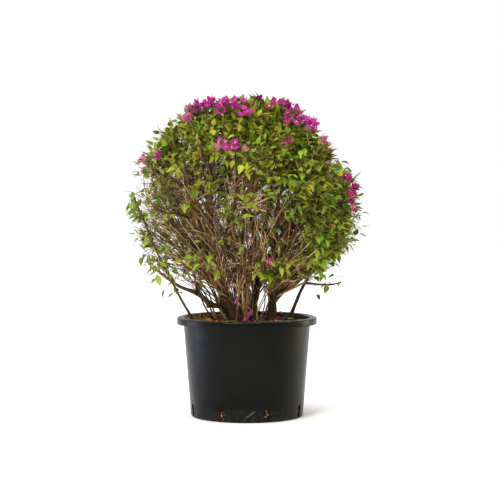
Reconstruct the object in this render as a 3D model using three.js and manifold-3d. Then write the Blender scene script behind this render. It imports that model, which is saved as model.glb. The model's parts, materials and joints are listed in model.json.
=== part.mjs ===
// Bougainvillea bush, clipped to a ball, in a black nursery pot of about 50 litres.
// Millimetres, +Z up. The origin is the centre of the pot's flat underside, and the front is -Y.
// The pot holds a plug of bark mix. Five trunks and a few thin stems stand on it as one clump,
// boughs fan out from their forks, and each bough ends where it enters a mass of foliage.
import * as THREE from "three";
import { mergeVertices } from "three/addons/utils/BufferGeometryUtils.js";
import Module from "manifold-3d";

const wasm = await Module();
wasm.setup();

// Pot
const POT_HEIGHT = 356;
const RIM_RADIUS = 250; // outside of the rolled rim
const RIM_DROP = 25; // how far the rim's skirt hangs
const RIM_ROUND = 5; // rounding of the rim's edges
const WALL_TOP_RADIUS = 228; // outside of the wall under the rim
const WALL_FOOT_RADIUS = 201; // outside of the wall at the floor
const WALL = 4;
const SLOT_COUNT = 8; // drainage slots round the foot
const SLOT_BEARING = 20; // bearing of the first slot, in degrees
const SLOT_WIDTH = 20;
const SLOT_TOP = 50;
const SLOT_BOTTOM = 5;
const SLOT_CUT = 40; // depth of the cut, through the wall and well past it
const POT_SIDES = 36;

// Bark mix in the pot
const SOIL_TOP = 344; // level of the flat middle that the stems stand on
const SOIL_FLAT_RADIUS = 160;
const SOIL_TILT = 9; // the edge of the mix is this much higher on the left and lower on the right
const SOIL_RIPPLE = 1.5; // height of the waves along that edge
const SOIL_RIPPLES = 7;
const SOIL_GAP = 2; // clearance to the wall
const FLOOR_GAP = 0.6; // clearance to the pot's floor

// Crown: an ellipsoid shell of foliage masses round open, twiggy space
const CROWN_CENTRE = new THREE.Vector3(-6, 0, 740);
const CROWN_HALF_WIDTH = 432;
const CROWN_HALF_DEPTH = 424;
const CROWN_UP = 416;
const CROWN_DOWN = 372;
const SHELL_INNER = 0.6; // inner face of the leafy shell, as a share of the crown's radius
const MASS_GAP = 5;
const ROUNDING = 11; // power of the soft minimum that rounds a mass; higher is squarer
const LUMP_DEPTH = 0.15; // share of a mass's radius that its hollows take
const GRAZING = 0.02; // cosine under which a direction doesn't head for a neighbour
const PROBE_STEP = 4; // step of the search for the shell's faces

// Wood
const LIMB_GAP = 0.35; // clearance between a limb and what it grows from or ends in
const RING_STEP = 78; // spacing of the sections along a limb
const THICK_FOOT = 10; // a limb with a thicker foot than this has eight sides, a thinner one six
const FLARE = 0.28; // share by which a trunk's foot is wider than its taper
const FLARE_LENGTH = 28;
const FORK_SHARE = 0.95; // where on a limb's length the next one leaves it
const BOUGH_RADII = [9, 4.5]; // foot and tip of a bough that carries a mass
const BOUGH_LIFT = 0.06; // how far such a bough bows upwards, as a share of its length

const bark = new THREE.MeshStandardMaterial({ color: 0x6b4c35, roughness: 0.9 });
const leaf = new THREE.MeshStandardMaterial({ color: 0x6f9428, roughness: 0.6 });
const plastic = new THREE.MeshStandardMaterial({ color: 0x1c1e1c, roughness: 0.45 });
const mix = new THREE.MeshStandardMaterial({ color: 0x6a4426, roughness: 1.0 });

const plant = new THREE.Group();
const made = []; // the solids that later limbs are cut clear of, each grown by the limbs' clearance

/** A point given by its bearing from the front, its reach from the pot's axis and its height. */
function at(bearing, reach, height) {
  const b = THREE.MathUtils.degToRad(bearing);
  return new THREE.Vector3(reach * Math.sin(b), -reach * Math.cos(b), height);
}

/** The closed geometry as a manifold-3d solid. */
function solidOf(geometry) {
  const bare = geometry.clone();
  bare.deleteAttribute("normal");
  bare.deleteAttribute("uv");
  const merged = mergeVertices(bare, 1e-3);
  return new wasm.Manifold(
    new wasm.Mesh({
      numProp: 3,
      vertProperties: merged.attributes.position.array,
      triVerts: new Uint32Array(merged.index.array),
    }),
  );
}

/** A manifold-3d solid as a three.js geometry. */
function geometryOf(solid) {
  const mesh = solid.getMesh();
  const geometry = new THREE.BufferGeometry();
  geometry.setAttribute("position", new THREE.BufferAttribute(mesh.vertProperties, 3));
  geometry.setIndex(new THREE.BufferAttribute(mesh.triVerts, 1));
  geometry.computeVertexNormals();
  return geometry;
}

/** Adds a named mesh to the plant. */
function add(name, geometry, material) {
  const mesh = new THREE.Mesh(geometry, material);
  mesh.name = name;
  plant.add(mesh);
}

/** A profile of [radius, height] pairs turned round the pot's axis. */
function turned(profile) {
  const points = profile.map(([radius, height]) => new THREE.Vector2(radius, height));
  return new THREE.LatheGeometry(points, POT_SIDES).rotateX(Math.PI / 2);
}

/** The pot: a tapered tub with a rolled rim and slots at its foot. */
function makePot() {
  const under = POT_HEIGHT - RIM_DROP;
  const profile = [
    [0, 0],
    [WALL_FOOT_RADIUS - RIM_ROUND, 0],
    [WALL_FOOT_RADIUS, RIM_ROUND],
    [WALL_TOP_RADIUS, POT_HEIGHT - WALL],
    [RIM_RADIUS - WALL, POT_HEIGHT - WALL],
    [RIM_RADIUS - WALL, under],
    [RIM_RADIUS, under],
    [RIM_RADIUS, POT_HEIGHT - RIM_ROUND],
    [RIM_RADIUS - RIM_ROUND, POT_HEIGHT],
    [WALL_TOP_RADIUS - WALL, POT_HEIGHT],
    [WALL_FOOT_RADIUS - WALL, WALL],
    [0, WALL],
  ];
  let pot = solidOf(turned(profile));
  const height = SLOT_TOP - SLOT_BOTTOM;
  for (let k = 0; k < SLOT_COUNT; k++) {
    const bearing = SLOT_BEARING + (360 / SLOT_COUNT) * k;
    const slot = new THREE.BoxGeometry(SLOT_WIDTH, SLOT_CUT, height);
    slot.rotateZ(THREE.MathUtils.degToRad(bearing));
    const place = at(bearing, WALL_FOOT_RADIUS, SLOT_BOTTOM + height / 2);
    slot.translate(place.x, place.y, place.z);
    pot = pot.subtract(solidOf(slot));
  }
  add("pot", geometryOf(pot), plastic);
}

/** The bark mix: flat under the stems, and tilted a little towards the right at the wall. */
function makeSoil() {
  const inside = (z) =>
    THREE.MathUtils.mapLinear(z, 0, POT_HEIGHT, WALL_FOOT_RADIUS, WALL_TOP_RADIUS) - WALL - SOIL_GAP;
  const rim = inside(SOIL_TOP);
  const floor = WALL + FLOOR_GAP;
  const geometry = turned([
    [0, floor],
    [inside(floor), floor],
    [rim, SOIL_TOP],
    [(rim + SOIL_FLAT_RADIUS) / 2, SOIL_TOP],
    [SOIL_FLAT_RADIUS, SOIL_TOP],
    [0, SOIL_TOP],
  ]);
  const p = geometry.attributes.position;
  for (let i = 0; i < p.count; i++) {
    const radius = Math.hypot(p.getX(i), p.getY(i));
    if (p.getZ(i) < SOIL_TOP - 1 || radius < SOIL_FLAT_RADIUS + 1) continue; // the underside and the flat
    const outward = (radius - SOIL_FLAT_RADIUS) / (rim - SOIL_FLAT_RADIUS);
    const ripple = SOIL_RIPPLE * Math.sin(SOIL_RIPPLES * Math.atan2(p.getY(i), p.getX(i)));
    p.setZ(i, SOIL_TOP - outward * (SOIL_TILT * (p.getX(i) / rim) - ripple));
  }
  add("soil", geometryOf(solidOf(geometry)), mix);
  made.push(solidOf(geometry.translate(0, 0, LIMB_GAP)));
}

/** How far out a point lies in the crown: 0 at its centre and 1 on its outline. */
function crownShare(point) {
  const q = point.clone().sub(CROWN_CENTRE);
  const rise = q.z > 0 ? CROWN_UP : CROWN_DOWN;
  return Math.hypot(q.x / CROWN_HALF_WIDTH, q.y / CROWN_HALF_DEPTH, q.z / rise);
}

/** A point of the crown at a bearing, an elevation seen from the crown's centre, and a share. */
function inCrown(bearing, elevation, share) {
  const e = THREE.MathUtils.degToRad(elevation);
  const q = at(bearing, Math.cos(e), Math.sin(e));
  const rise = q.z > 0 ? CROWN_UP : CROWN_DOWN;
  q.multiply(new THREE.Vector3(CROWN_HALF_WIDTH, CROWN_HALF_DEPTH, rise)).multiplyScalar(share);
  return q.add(CROWN_CENTRE);
}

/** The way from a point along a direction until the crown's share passes a limit, or the reach. */
function wayTo(limit, start, direction, reach) {
  const inside = crownShare(start) < limit;
  for (let t = PROBE_STEP; t < reach; t += PROBE_STEP) {
    const share = crownShare(start.clone().addScaledVector(direction, t));
    if (share < limit !== inside) return t;
  }
  return reach;
}

/** Smooth hollows and swells of a mass, from 0 to 1, for a direction from its centre. */
function lump(direction, seed) {
  const { x, y, z } = direction;
  const waves =
    Math.sin(5.1 * x + 3.3 * y + seed) +
    Math.sin(5.7 * y - 3.9 * z + 2.1 * seed) +
    Math.sin(6.3 * z + 4.1 * x + 3.7 * seed);
  return 0.5 + waves / 6;
}

/** A mass of foliage: a cushion that fills its share of the shell and keeps clear of the others. */
function massGeometry(mass, masses, grown) {
  const geometry = new THREE.IcosahedronGeometry(1, mass.detail);
  const p = geometry.attributes.position;
  for (let i = 0; i < p.count; i++) {
    const direction = new THREE.Vector3().fromBufferAttribute(p, i).normalize();
    const ways = [
      mass.reach,
      wayTo(1, mass.centre, direction, mass.reach),
      wayTo(SHELL_INNER, mass.centre, direction, mass.reach),
    ];
    for (const other of masses) {
      if (other === mass) continue;
      const across = other.centre.clone().sub(mass.centre);
      const apart = across.length();
      const towards = direction.dot(across) / apart;
      const share = mass.reach / (mass.reach + other.reach);
      if (towards > GRAZING) ways.push((apart * share - MASS_GAP / 2) / towards);
    }
    const rounded = ways.reduce((sum, way) => sum + way ** -ROUNDING, 0) ** (-1 / ROUNDING);
    const radius = rounded * (1 - LUMP_DEPTH * lump(direction, mass.seed)) + grown;
    direction.multiplyScalar(radius).add(mass.centre);
    p.setXYZ(i, direction.x, direction.y, direction.z);
  }
  return geometry;
}

/** The masses of the crown: rings of cushions, then the sprays that stand apart and are plainer. */
function planMasses() {
  const masses = [];
  const place = (name, centre, reach, detail = 2) =>
    masses.push({ name, centre, reach, detail, seed: masses.length * 1.7 });

  place("top_foliage", inCrown(0, 90, 0.84), 210, 3);
  const upper = 6;
  for (let k = 0; k < upper; k++) {
    place(`upper_foliage_${k + 1}`, inCrown(30 + (360 / upper) * k, 45, 0.83), 215, 3);
  }
  const shoulder = 8;
  for (let k = 0; k < shoulder; k++) {
    const bearing = (360 / shoulder) * k;
    const front = Math.cos(THREE.MathUtils.degToRad(bearing)) > 0.3;
    place(`shoulder_foliage_${k + 1}`, inCrown(bearing, front ? 17 : 10, 0.83), front ? 160 : 190);
  }
  const skirtBearings = [62, 98, 136, 176, 216];
  skirtBearings.forEach((bearing, k) => {
    place(`skirt_foliage_${k + 1}`, inCrown(bearing, k < 3 ? -20 : -18, 0.84), k < 3 ? 150 : 120);
  });
  const sprayHeights = [732, 640, 545];
  sprayHeights.forEach((height, k) => {
    place(`left_spray_${k + 1}`, at(276 - 5 * k, 390 - 24 * k, height), 40 - 2 * k, 1);
  });
  place("front_spray", at(28, 190, 528), 52, 1);
  return masses;
}

/** A tapering limb: a cylinder bent along a curve, with a flare at its foot where it has one. */
function limbGeometry(curve, radii, flare, grown) {
  const length = curve.getLength();
  const rings = Math.max(3, Math.round(length / RING_STEP));
  const sides = radii[0] > THICK_FOOT ? 8 : 6;
  const geometry = new THREE.CylinderGeometry(1, 1, 1, sides, rings);
  const p = geometry.attributes.position;
  const reference = new THREE.Vector3(0.2, -1, 0.1).normalize();
  for (let i = 0; i < p.count; i++) {
    const u = p.getY(i) + 0.5;
    const tangent = curve.getTangent(u);
    if (flare && u < 1e-6) tangent.set(0, 0, 1); // a trunk's foot is cut level
    const side = reference.clone().cross(tangent).normalize();
    const front = tangent.clone().cross(side);
    const swell = flare ? 1 + FLARE * Math.exp((-u * length) / FLARE_LENGTH) : 1;
    const radius = THREE.MathUtils.lerp(radii[0], radii[1], u) * swell + grown;
    const point = curve.getPoint(u);
    point.addScaledVector(side, p.getX(i) * radius);
    point.addScaledVector(front, -p.getZ(i) * radius);
    p.setXYZ(i, point.x, point.y, point.z);
  }
  return geometry;
}

/** The curve of a limb between two points, bowed at its middle by an offset. */
function bowed(from, to, bow) {
  const middle = from.clone().lerp(to, 0.5).add(new THREE.Vector3(...bow));
  return new THREE.QuadraticBezierCurve3(from, middle, to);
}

/** Adds a limb, cut clear of what stands in its way. The piece that is kept holds its foot. */
function addLimb({ name, curve, radii, flare = false }) {
  let limb = solidOf(limbGeometry(curve, radii, flare, 0));
  for (const other of made) limb = limb.subtract(other);
  const pieces = limb.decompose();
  const whole = pieces.reduce((a, b) => (a.volume() > b.volume() ? a : b));
  made.push(solidOf(limbGeometry(curve, radii, flare, LIMB_GAP)));
  add(name, geometryOf(whole), bark);
}

/** The clump: trunks and thin stems from the soil, with the limbs that leave them low down. */
function planClump(masses) {
  const ground = SOIL_TOP + LIMB_GAP;
  const limbs = [];
  const grow = (name, from, to, radii, bow = [0, 0, 0], flare = false) => {
    const limb = { name, curve: bowed(from, to, bow), radii, flare };
    limbs.push(limb);
    return limb;
  };
  const along = (limb, share) => limb.curve.getPoint(share);
  const tipOf = (limb) => along(limb, FORK_SHARE);
  const massCentre = (name) => masses.find((mass) => mass.name === name).centre;

  // Trunks, each from its flat cut on the soil to its fork
  const centre = grow("centre_trunk", at(220, 14, ground), at(255, 18, 480), [17, 13], [4, 0, 0], true);
  const right = grow("right_trunk", at(82, 88, ground), at(80, 96, 418), [17, 14], [-2, 0, 0], true);
  const left = grow("left_trunk", at(318, 52, ground), at(294, 132, 506), [14.5, 10.5], [6, 0, -6], true);
  const back = grow("back_trunk", at(168, 88, ground), at(160, 142, 520), [14, 11], [0, -8, 8], true);
  const rear = grow("back_left_trunk", at(216, 104, ground), at(228, 200, 556), [12, 9], [0, 0, 0], true);

  // Thin stems that rise beside the trunks
  grow("front_stem", at(350, 96, ground), at(316, 152, 540), [7.5, 5.5], [6, -8, 0], true);
  const outer = grow("right_stem", at(92, 148, ground), at(96, 214, 480), [6.8, 5.2], [-6, 0, 4], true);
  grow("left_arching_shoot", at(286, 192, ground - 6), at(292, 428, 800), [4.8, 3], [-26, 0, -6]);

  // The low limb on the left, split at its bend, and what rises from its end
  const low = grow("low_left_limb", along(left, 0.36), at(284, 138, 399), [10.5, 9.5], [0, 0, -3]);
  const bend = grow("low_left_limb_upper", tipOf(low), at(284, 182, 442), [9.5, 8], [0, 0, 0]);
  grow("low_left_limb_outer", tipOf(bend), massCentre("left_spray_3"), [7, 3.5], [-30, 0, -22]);
  grow("low_left_limb_riser", tipOf(bend), at(284, 202, 640), [5, 3], [-12, 0, 0]);

  // Boughs on the right: one low and level, one that leans out over the pot, two towards the front
  grow("right_low_bough", tipOf(outer), at(96, 338, 474), [4.5, 2.5], [0, 0, -14]);
  grow("right_outer_bough", tipOf(right), at(88, 262, 610), [11, 6.5], [10, 0, -10]);
  grow("front_right_bough", tipOf(right), at(52, 182, 646), [8.5, 5.5], [-26, -4, 10]);
  grow("front_spray_bough", tipOf(right), massCentre("front_spray"), [5, 3], [0, -20, -10]);

  // Bare boughs that fan out from the left trunk to the open side of the crown
  grow("left_bare_bough_1", along(left, 0.8), massCentre("left_spray_2"), [6.5, 3], [0, 0, -12]);
  grow("left_bare_bough_2", along(left, 0.88), at(291, 344, 672), [6.5, 3], [0, 0, -3]);
  grow("left_bare_bough_3", tipOf(left), at(298, 332, 734), [6.5, 3], [0, 0, 6]);
  return { limbs, trunks: [centre, right, left, back, rear] };
}

/** One bough for each mass that a trunk has to carry, from the nearest fork to the mass. */
function planBoughs(masses, trunks) {
  return masses
    .filter((mass) => /^(top|upper|shoulder)/.test(mass.name))
    .map((mass) => {
      const apart = (trunk) => {
        const way = mass.centre.clone().sub(trunk.curve.getPoint(1));
        return Math.hypot(way.x, way.y);
      };
      const trunk = trunks.reduce((a, b) => (apart(a) < apart(b) ? a : b));
      const foot = trunk.curve.getPoint(FORK_SHARE);
      const lift = BOUGH_LIFT * mass.centre.distanceTo(foot);
      const curve = bowed(foot, mass.centre, [0, 0, lift]);
      return { name: `bough_to_${mass.name}`, curve, radii: BOUGH_RADII };
    });
}

makePot();
makeSoil();
const masses = planMasses();
const { limbs, trunks } = planClump(masses);
for (const mass of masses) {
  add(mass.name, massGeometry(mass, masses, 0), leaf);
  made.push(solidOf(massGeometry(mass, masses, LIMB_GAP)));
}
limbs.forEach(addLimb);
planBoughs(masses, trunks).forEach(addLimb);

export default plant;
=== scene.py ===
"""A bougainvillea bush, clipped to a ball, in a black nursery pot.

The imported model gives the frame: the limbs' solids say where the wood runs, and the masses of foliage say
where leaves grow. Bark tubes follow the limbs, three generations of shoots grow on from them by a seeded
rule, and leaves and bracts stand on the shoots. Lengths are metres unless a name says otherwise.
"""
from __future__ import annotations

import json
import logging
import math
import sys
from dataclasses import dataclass, field
from enum import Enum
from typing import Any, Sequence

import bmesh
import bpy
import numpy as np
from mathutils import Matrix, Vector, noise
from mathutils.bvhtree import BVHTree

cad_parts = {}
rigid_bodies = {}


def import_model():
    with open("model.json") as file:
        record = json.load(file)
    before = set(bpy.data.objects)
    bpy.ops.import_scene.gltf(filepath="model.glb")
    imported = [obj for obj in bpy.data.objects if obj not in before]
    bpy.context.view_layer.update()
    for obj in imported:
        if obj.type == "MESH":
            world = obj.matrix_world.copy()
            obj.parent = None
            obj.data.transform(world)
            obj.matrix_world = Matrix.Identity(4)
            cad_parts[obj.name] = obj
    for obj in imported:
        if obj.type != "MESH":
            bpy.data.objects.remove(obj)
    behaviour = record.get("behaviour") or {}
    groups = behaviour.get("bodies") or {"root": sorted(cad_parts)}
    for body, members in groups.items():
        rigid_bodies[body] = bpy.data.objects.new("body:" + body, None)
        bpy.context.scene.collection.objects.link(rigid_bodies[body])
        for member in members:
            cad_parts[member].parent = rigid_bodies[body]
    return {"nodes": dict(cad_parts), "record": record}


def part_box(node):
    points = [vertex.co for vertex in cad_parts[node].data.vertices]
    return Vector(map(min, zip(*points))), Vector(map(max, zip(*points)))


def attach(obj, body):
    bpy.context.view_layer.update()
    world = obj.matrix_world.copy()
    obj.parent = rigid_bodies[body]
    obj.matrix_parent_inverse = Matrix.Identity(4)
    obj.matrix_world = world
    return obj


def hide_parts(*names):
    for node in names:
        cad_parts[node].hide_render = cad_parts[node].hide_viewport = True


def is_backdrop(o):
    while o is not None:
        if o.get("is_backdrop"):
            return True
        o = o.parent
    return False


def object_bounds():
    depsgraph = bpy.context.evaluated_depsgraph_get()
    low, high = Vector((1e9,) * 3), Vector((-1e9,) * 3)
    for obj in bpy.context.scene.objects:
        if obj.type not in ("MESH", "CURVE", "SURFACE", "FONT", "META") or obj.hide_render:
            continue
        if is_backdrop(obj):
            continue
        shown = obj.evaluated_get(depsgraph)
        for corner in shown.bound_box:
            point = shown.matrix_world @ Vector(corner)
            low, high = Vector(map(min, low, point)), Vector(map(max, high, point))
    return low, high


Array = np.ndarray
LOG = logging.getLogger("bougainvillea")
MM = 0.001
GOLDEN_ANGLE = math.radians(137.5)
UP = np.array([0.0, 0.0, 1.0])


# ---------------------------------------------------------------- small helpers


def unit(vectors: Array) -> Array:
    """The vectors at length 1, along the last axis."""
    return vectors / np.maximum(np.linalg.norm(vectors, axis=-1, keepdims=True), 1e-12)


def srgb(colour: str) -> tuple[float, float, float, float]:
    """The linear colour of an sRGB hex value such as "#6b8e23"."""
    parts = [int(colour[i : i + 2], 16) / 255 for i in (1, 3, 5)]
    linear = [c / 12.92 if c <= 0.04045 else ((c + 0.055) / 1.055) ** 2.4 for c in parts]
    return (*linear, 1.0)


def add_node(
    tree: bpy.types.NodeTree,
    kind: str,
    links: dict[str | int, bpy.types.NodeSocket] | None = None,
    values: dict[str | int, Any] | None = None,
    **settings: Any,
) -> bpy.types.Node:
    """Adds a node with its settings, its input values and its links.

    Args:
        tree: The node tree that the node joins.
        kind: The node's type.
        links: The socket that feeds each input, by the input's name or place.
        values: The value of each unlinked input, by name or place.
        settings: The node's own properties.

    Returns:
        The new node.
    """
    node = tree.nodes.new(kind)
    for name, setting in settings.items():
        setattr(node, name, setting)
    for key, value in (values or {}).items():
        node.inputs[key].default_value = value
    for key, socket in (links or {}).items():
        tree.links.new(socket, node.inputs[key])
    return node


def mesh_object(name: str, vertices: Array, faces: Sequence[Sequence[int]]) -> bpy.types.Object:
    """A mesh object in the scene, made of the given vertices and faces."""
    mesh = bpy.data.meshes.new(name)
    mesh.from_pydata(np.asarray(vertices, float).tolist(), [], [list(map(int, f)) for f in faces])
    made = bpy.data.objects.new(name, mesh)
    bpy.context.scene.collection.objects.link(made)
    return made


def applied(source: bpy.types.Object, name: str) -> bpy.types.Object:
    """The object with its modifiers turned into a plain mesh, under a new name. The source is removed."""
    bpy.context.view_layer.update()
    evaluated = source.evaluated_get(bpy.context.evaluated_depsgraph_get())
    mesh = bpy.data.meshes.new_from_object(evaluated)
    mesh.name = name
    bpy.data.objects.remove(source)
    made = bpy.data.objects.new(name, mesh)
    bpy.context.scene.collection.objects.link(made)
    return made


def keep_piece(piece: bpy.types.Object, stands_for: Sequence[str] = ()) -> bpy.types.Object:
    """Rides the piece on the plant's one body and lets it stand for CAD nodes."""
    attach(piece, "root")
    if stands_for:
        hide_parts(*stands_for)
    triangles = sum(len(p.vertices) - 2 for p in piece.data.polygons)
    LOG.info("%s: %d triangles, stands for %d nodes", piece.name, triangles, len(stands_for))
    return piece


# ---------------------------------------------------------------- the frame


@dataclass
class CadFrame:
    """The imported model: its nodes, their material slots and its box."""

    nodes: dict[str, bpy.types.Object]
    slots: dict[str, str]
    low: Vector
    high: Vector

    @classmethod
    def load(cls) -> CadFrame:
        """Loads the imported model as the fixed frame."""
        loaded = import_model()
        low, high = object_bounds()
        slots = {part["node"]: part["material_slot"] for part in loaded["record"]["subparts"]}
        return cls(loaded["nodes"], slots, low, high)

    def named(self, slot: str) -> list[str]:
        """The names of the nodes of one material slot, in alphabetical order."""
        return sorted(name for name, found in self.slots.items() if found == slot)

    def triangles(self, name: str) -> Array:
        """The node's triangles as an array of n x 3 corners x 3 coordinates."""
        mesh = self.nodes[name].data
        mesh.calc_loop_triangles()
        corners = np.zeros(len(mesh.vertices) * 3, np.float32)
        mesh.vertices.foreach_get("co", corners)
        indices = np.zeros(len(mesh.loop_triangles) * 3, np.int32)
        mesh.loop_triangles.foreach_get("vertices", indices)
        return corners.reshape(-1, 3)[indices.reshape(-1, 3)].astype(float)

    def write_sizes(self) -> None:
        """Brings the view layer up to date."""
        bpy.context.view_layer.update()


@dataclass
class Crown:
    """The ball that the bush is clipped to, worked out from the masses' boxes."""

    centre: Array
    half: Array
    drop: float
    squatness: float = 0.965  # height of the ball's upper half as a share of its half width
    depth_below: float = 0.9  # the same for its lower half
    fringe: Sequence[tuple[float, float]] = (
        (-180, 0.08), (-135, 0.0), (-95, 0.28), (-50, 0.42), (-10, 0.42), (14, 0.3), (30, -0.08),
        (48, -0.5), (85, -0.7), (120, -0.45), (150, -0.05), (180, 0.08),
    )  # where the leaves thin out: (bearing from the front in degrees, share of the height)
    fringe_width: float = 0.22
    dents: Sequence[tuple[float, float, float, float]] = (
        (90, 37, 0.12, 15), (88, -36, 0.09, 15), (10, 14, 0.04, 26), (205, 40, 0.07, 22))
    # where the ball is pushed in: (bearing and elevation in degrees, depth as a share, reach in degrees)
    thin: float = 0.22  # leafiness below the fringe

    @classmethod
    def of(cls, frame: CadFrame) -> Crown:
        """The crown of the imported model."""
        boxes = [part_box(name) for name in frame.named("foliage")]
        low = np.min([np.array(box[0]) for box in boxes], axis=0)
        high = np.max([np.array(box[1]) for box in boxes], axis=0)
        width, depth = (high - low)[:2] / 2
        rise = cls.squatness * width
        centre = np.array([(low[0] + high[0]) / 2, (low[1] + high[1]) / 2, high[2] - rise])
        return cls(centre, np.array([width, depth, rise]), cls.depth_below * width)

    def share(self, points: Array) -> Array:
        """How far out each point lies: 0 at the centre and 1 on the ball's skin."""
        q = np.asarray(points) - self.centre
        height = np.where(q[..., 2] > 0, self.half[2], self.drop)
        return np.sqrt((q[..., 0] / self.half[0]) ** 2 + (q[..., 1] / self.half[1]) ** 2 + (q[..., 2] / height) ** 2)

    def leafiness(self, points: Array) -> Array:
        """How leafy the shoots are at each point: 1 above the fringe, thinning out below it."""
        q = np.asarray(points) - self.centre
        bearings = np.degrees(np.arctan2(q[..., 0], -q[..., 1]))
        edge = np.interp(bearings, *zip(*self.fringe))
        height = q[..., 2] / np.where(q[..., 2] > 0, self.half[2], self.drop)
        t = np.clip((height - edge) / self.fringe_width + 0.5, 0, 1)
        return self.thin + (1 - self.thin) * t * t * (3 - 2 * t)

    def outward(self, points: Array) -> Array:
        """The direction out of the crown at each point."""
        return unit(np.asarray(points) - self.centre)

    def skin(self, points: Array) -> Array:
        """The share of the way out at which the crown ends in the direction of each point."""
        ways = self.outward(points)
        limit = np.ones(ways.shape[:-1])
        for bearing, elevation, depth, reach in self.dents:
            b, e = math.radians(bearing), math.radians(elevation)
            middle = np.array([math.sin(b) * math.cos(e), -math.cos(b) * math.cos(e), math.sin(e)])
            apart = np.degrees(np.arccos(np.clip(ways @ middle, -1, 1)))
            limit = limit - depth * np.exp(-((apart / reach) ** 2))
        return limit

    def dented(self, points: Array) -> Array:
        """The points, drawn in towards the centre where the crown is dented."""
        return self.centre + (points - self.centre) * self.skin(points)[..., None]

    def at(self, bearing: Array | float, elevation: Array | float, share: Array | float) -> Array:
        """Points by their bearing from the front and elevation, in degrees, and their share of the way out."""
        b, e = np.radians(bearing), np.radians(elevation)
        q = np.stack(np.broadcast_arrays(np.sin(b) * np.cos(e), -np.cos(b) * np.cos(e), np.sin(e)), axis=-1)
        height = np.where(q[..., 2] > 0, self.half[2], self.drop)
        q = q * np.stack(np.broadcast_arrays(self.half[0], self.half[1], height), axis=-1)
        return self.dented(self.centre + q * np.asarray(share)[..., None])

    def on_front(self, across: float, up: float) -> Array:
        """The point of the front skin at shares of the half width to the right and of the rise upwards."""
        off = math.hypot(across, up)
        if off > 0.97:
            across, up = 0.97 * across / off, 0.97 * up / off
        front = -math.sqrt(1 - across**2 - up**2)
        height = self.half[2] if up > 0 else self.drop
        return self.dented(self.centre + np.array([across * self.half[0], front * self.half[1], up * height]))


# ---------------------------------------------------------------- finishes


def new_material(name: str) -> tuple[bpy.types.Material, bpy.types.NodeTree, bpy.types.Node]:
    """A material with its tree and its Principled shader."""
    material = bpy.data.materials.new(name)
    material.use_nodes = True
    return material, material.node_tree, material.node_tree.nodes["Principled BSDF"]


def ramp_between(
    tree: bpy.types.NodeTree, factor: bpy.types.NodeSocket, stops: Sequence[tuple[float, str]]
) -> bpy.types.NodeSocket:
    """The colour that a factor picks from a row of (place, hex colour) stops."""
    ramp = add_node(tree, "ShaderNodeValToRGB", {"Fac": factor})
    elements = ramp.color_ramp.elements
    while len(elements) < len(stops):
        elements.new(1.0)
    for element, (place, colour) in zip(elements, stops):
        element.position = place
        element.color = srgb(colour)
    return ramp.outputs["Color"]


@dataclass(frozen=True)
class BarkFinish:
    """Old bougainvillea bark: dry, matt and corky, grey-brown plates with darker furrows between them."""

    name: str = "bougainvillea_bark"
    furrow: str = "#20150c"
    cork: str = "#533b24"
    plate: str = "#806344"
    dark_foot: str = "#2c2012"
    dark_foot_from: float = 0.36  # the bark is darkest below this height, just above the mix, and has its plain colour from the next height up
    dark_foot_to: float = 0.52
    furrow_width_mm: float = 3.5  # about 2 mm on the plant, drawn wider so that it shows
    furrow_length_mm: float = 24.0
    relief_mm: float = 1.2

    def build(self) -> bpy.types.Material:
        """The material, whose furrows run along each limb by the limb's own UV map in metres."""
        material, tree, shader = new_material(self.name)
        uv = add_node(tree, "ShaderNodeUVMap", uv_map="UVMap")
        scale = (1 / (self.furrow_width_mm * MM), 1 / (self.furrow_length_mm * MM), 1.0)
        stretched = add_node(tree, "ShaderNodeMapping", {"Vector": uv.outputs["UV"]}, {"Scale": scale})
        furrows = add_node(tree, "ShaderNodeTexNoise", {"Vector": stretched.outputs["Vector"]},
                           {"Scale": 1.0, "Detail": 4.0, "Roughness": 0.65, "Distortion": 0.4})
        place = add_node(tree, "ShaderNodeTexCoord")
        patches = add_node(tree, "ShaderNodeTexNoise", {"Vector": place.outputs["Object"]},
                           {"Scale": 26.0, "Detail": 2.0})
        both = add_node(tree, "ShaderNodeMath", {0: furrows.outputs["Fac"], 1: patches.outputs["Fac"]},
                        operation="ADD")
        half = add_node(tree, "ShaderNodeMath", {0: both.outputs["Value"]}, {1: 0.5}, operation="MULTIPLY")
        stops = [(0.34, self.furrow), (0.5, self.cork), (0.66, self.plate)]
        height = add_node(tree, "ShaderNodeSeparateXYZ", {"Vector": place.outputs["Object"]})
        # darker towards the mix: below this band of heights the bark is blended towards a darker colour
        dark_foot = add_node(tree, "ShaderNodeMapRange", {"Value": height.outputs["Z"]},
                        {"From Min": self.dark_foot_from, "From Max": self.dark_foot_to, "To Min": 0.6, "To Max": 0.0})
        darkened = add_node(tree, "ShaderNodeMix",
                       {"Factor": dark_foot.outputs["Result"], 6: ramp_between(tree, half.outputs["Value"], stops)},
                       {7: srgb(self.dark_foot)}, data_type="RGBA")
        tree.links.new(darkened.outputs[2], shader.inputs["Base Color"])
        bump = add_node(tree, "ShaderNodeBump", {"Height": furrows.outputs["Fac"]},
                        {"Strength": 0.9, "Distance": self.relief_mm * MM})
        tree.links.new(bump.outputs["Normal"], shader.inputs["Normal"])
        shader.inputs["Roughness"].default_value = 0.88
        shader.inputs["Specular IOR Level"].default_value = 0.25
        return material


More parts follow.
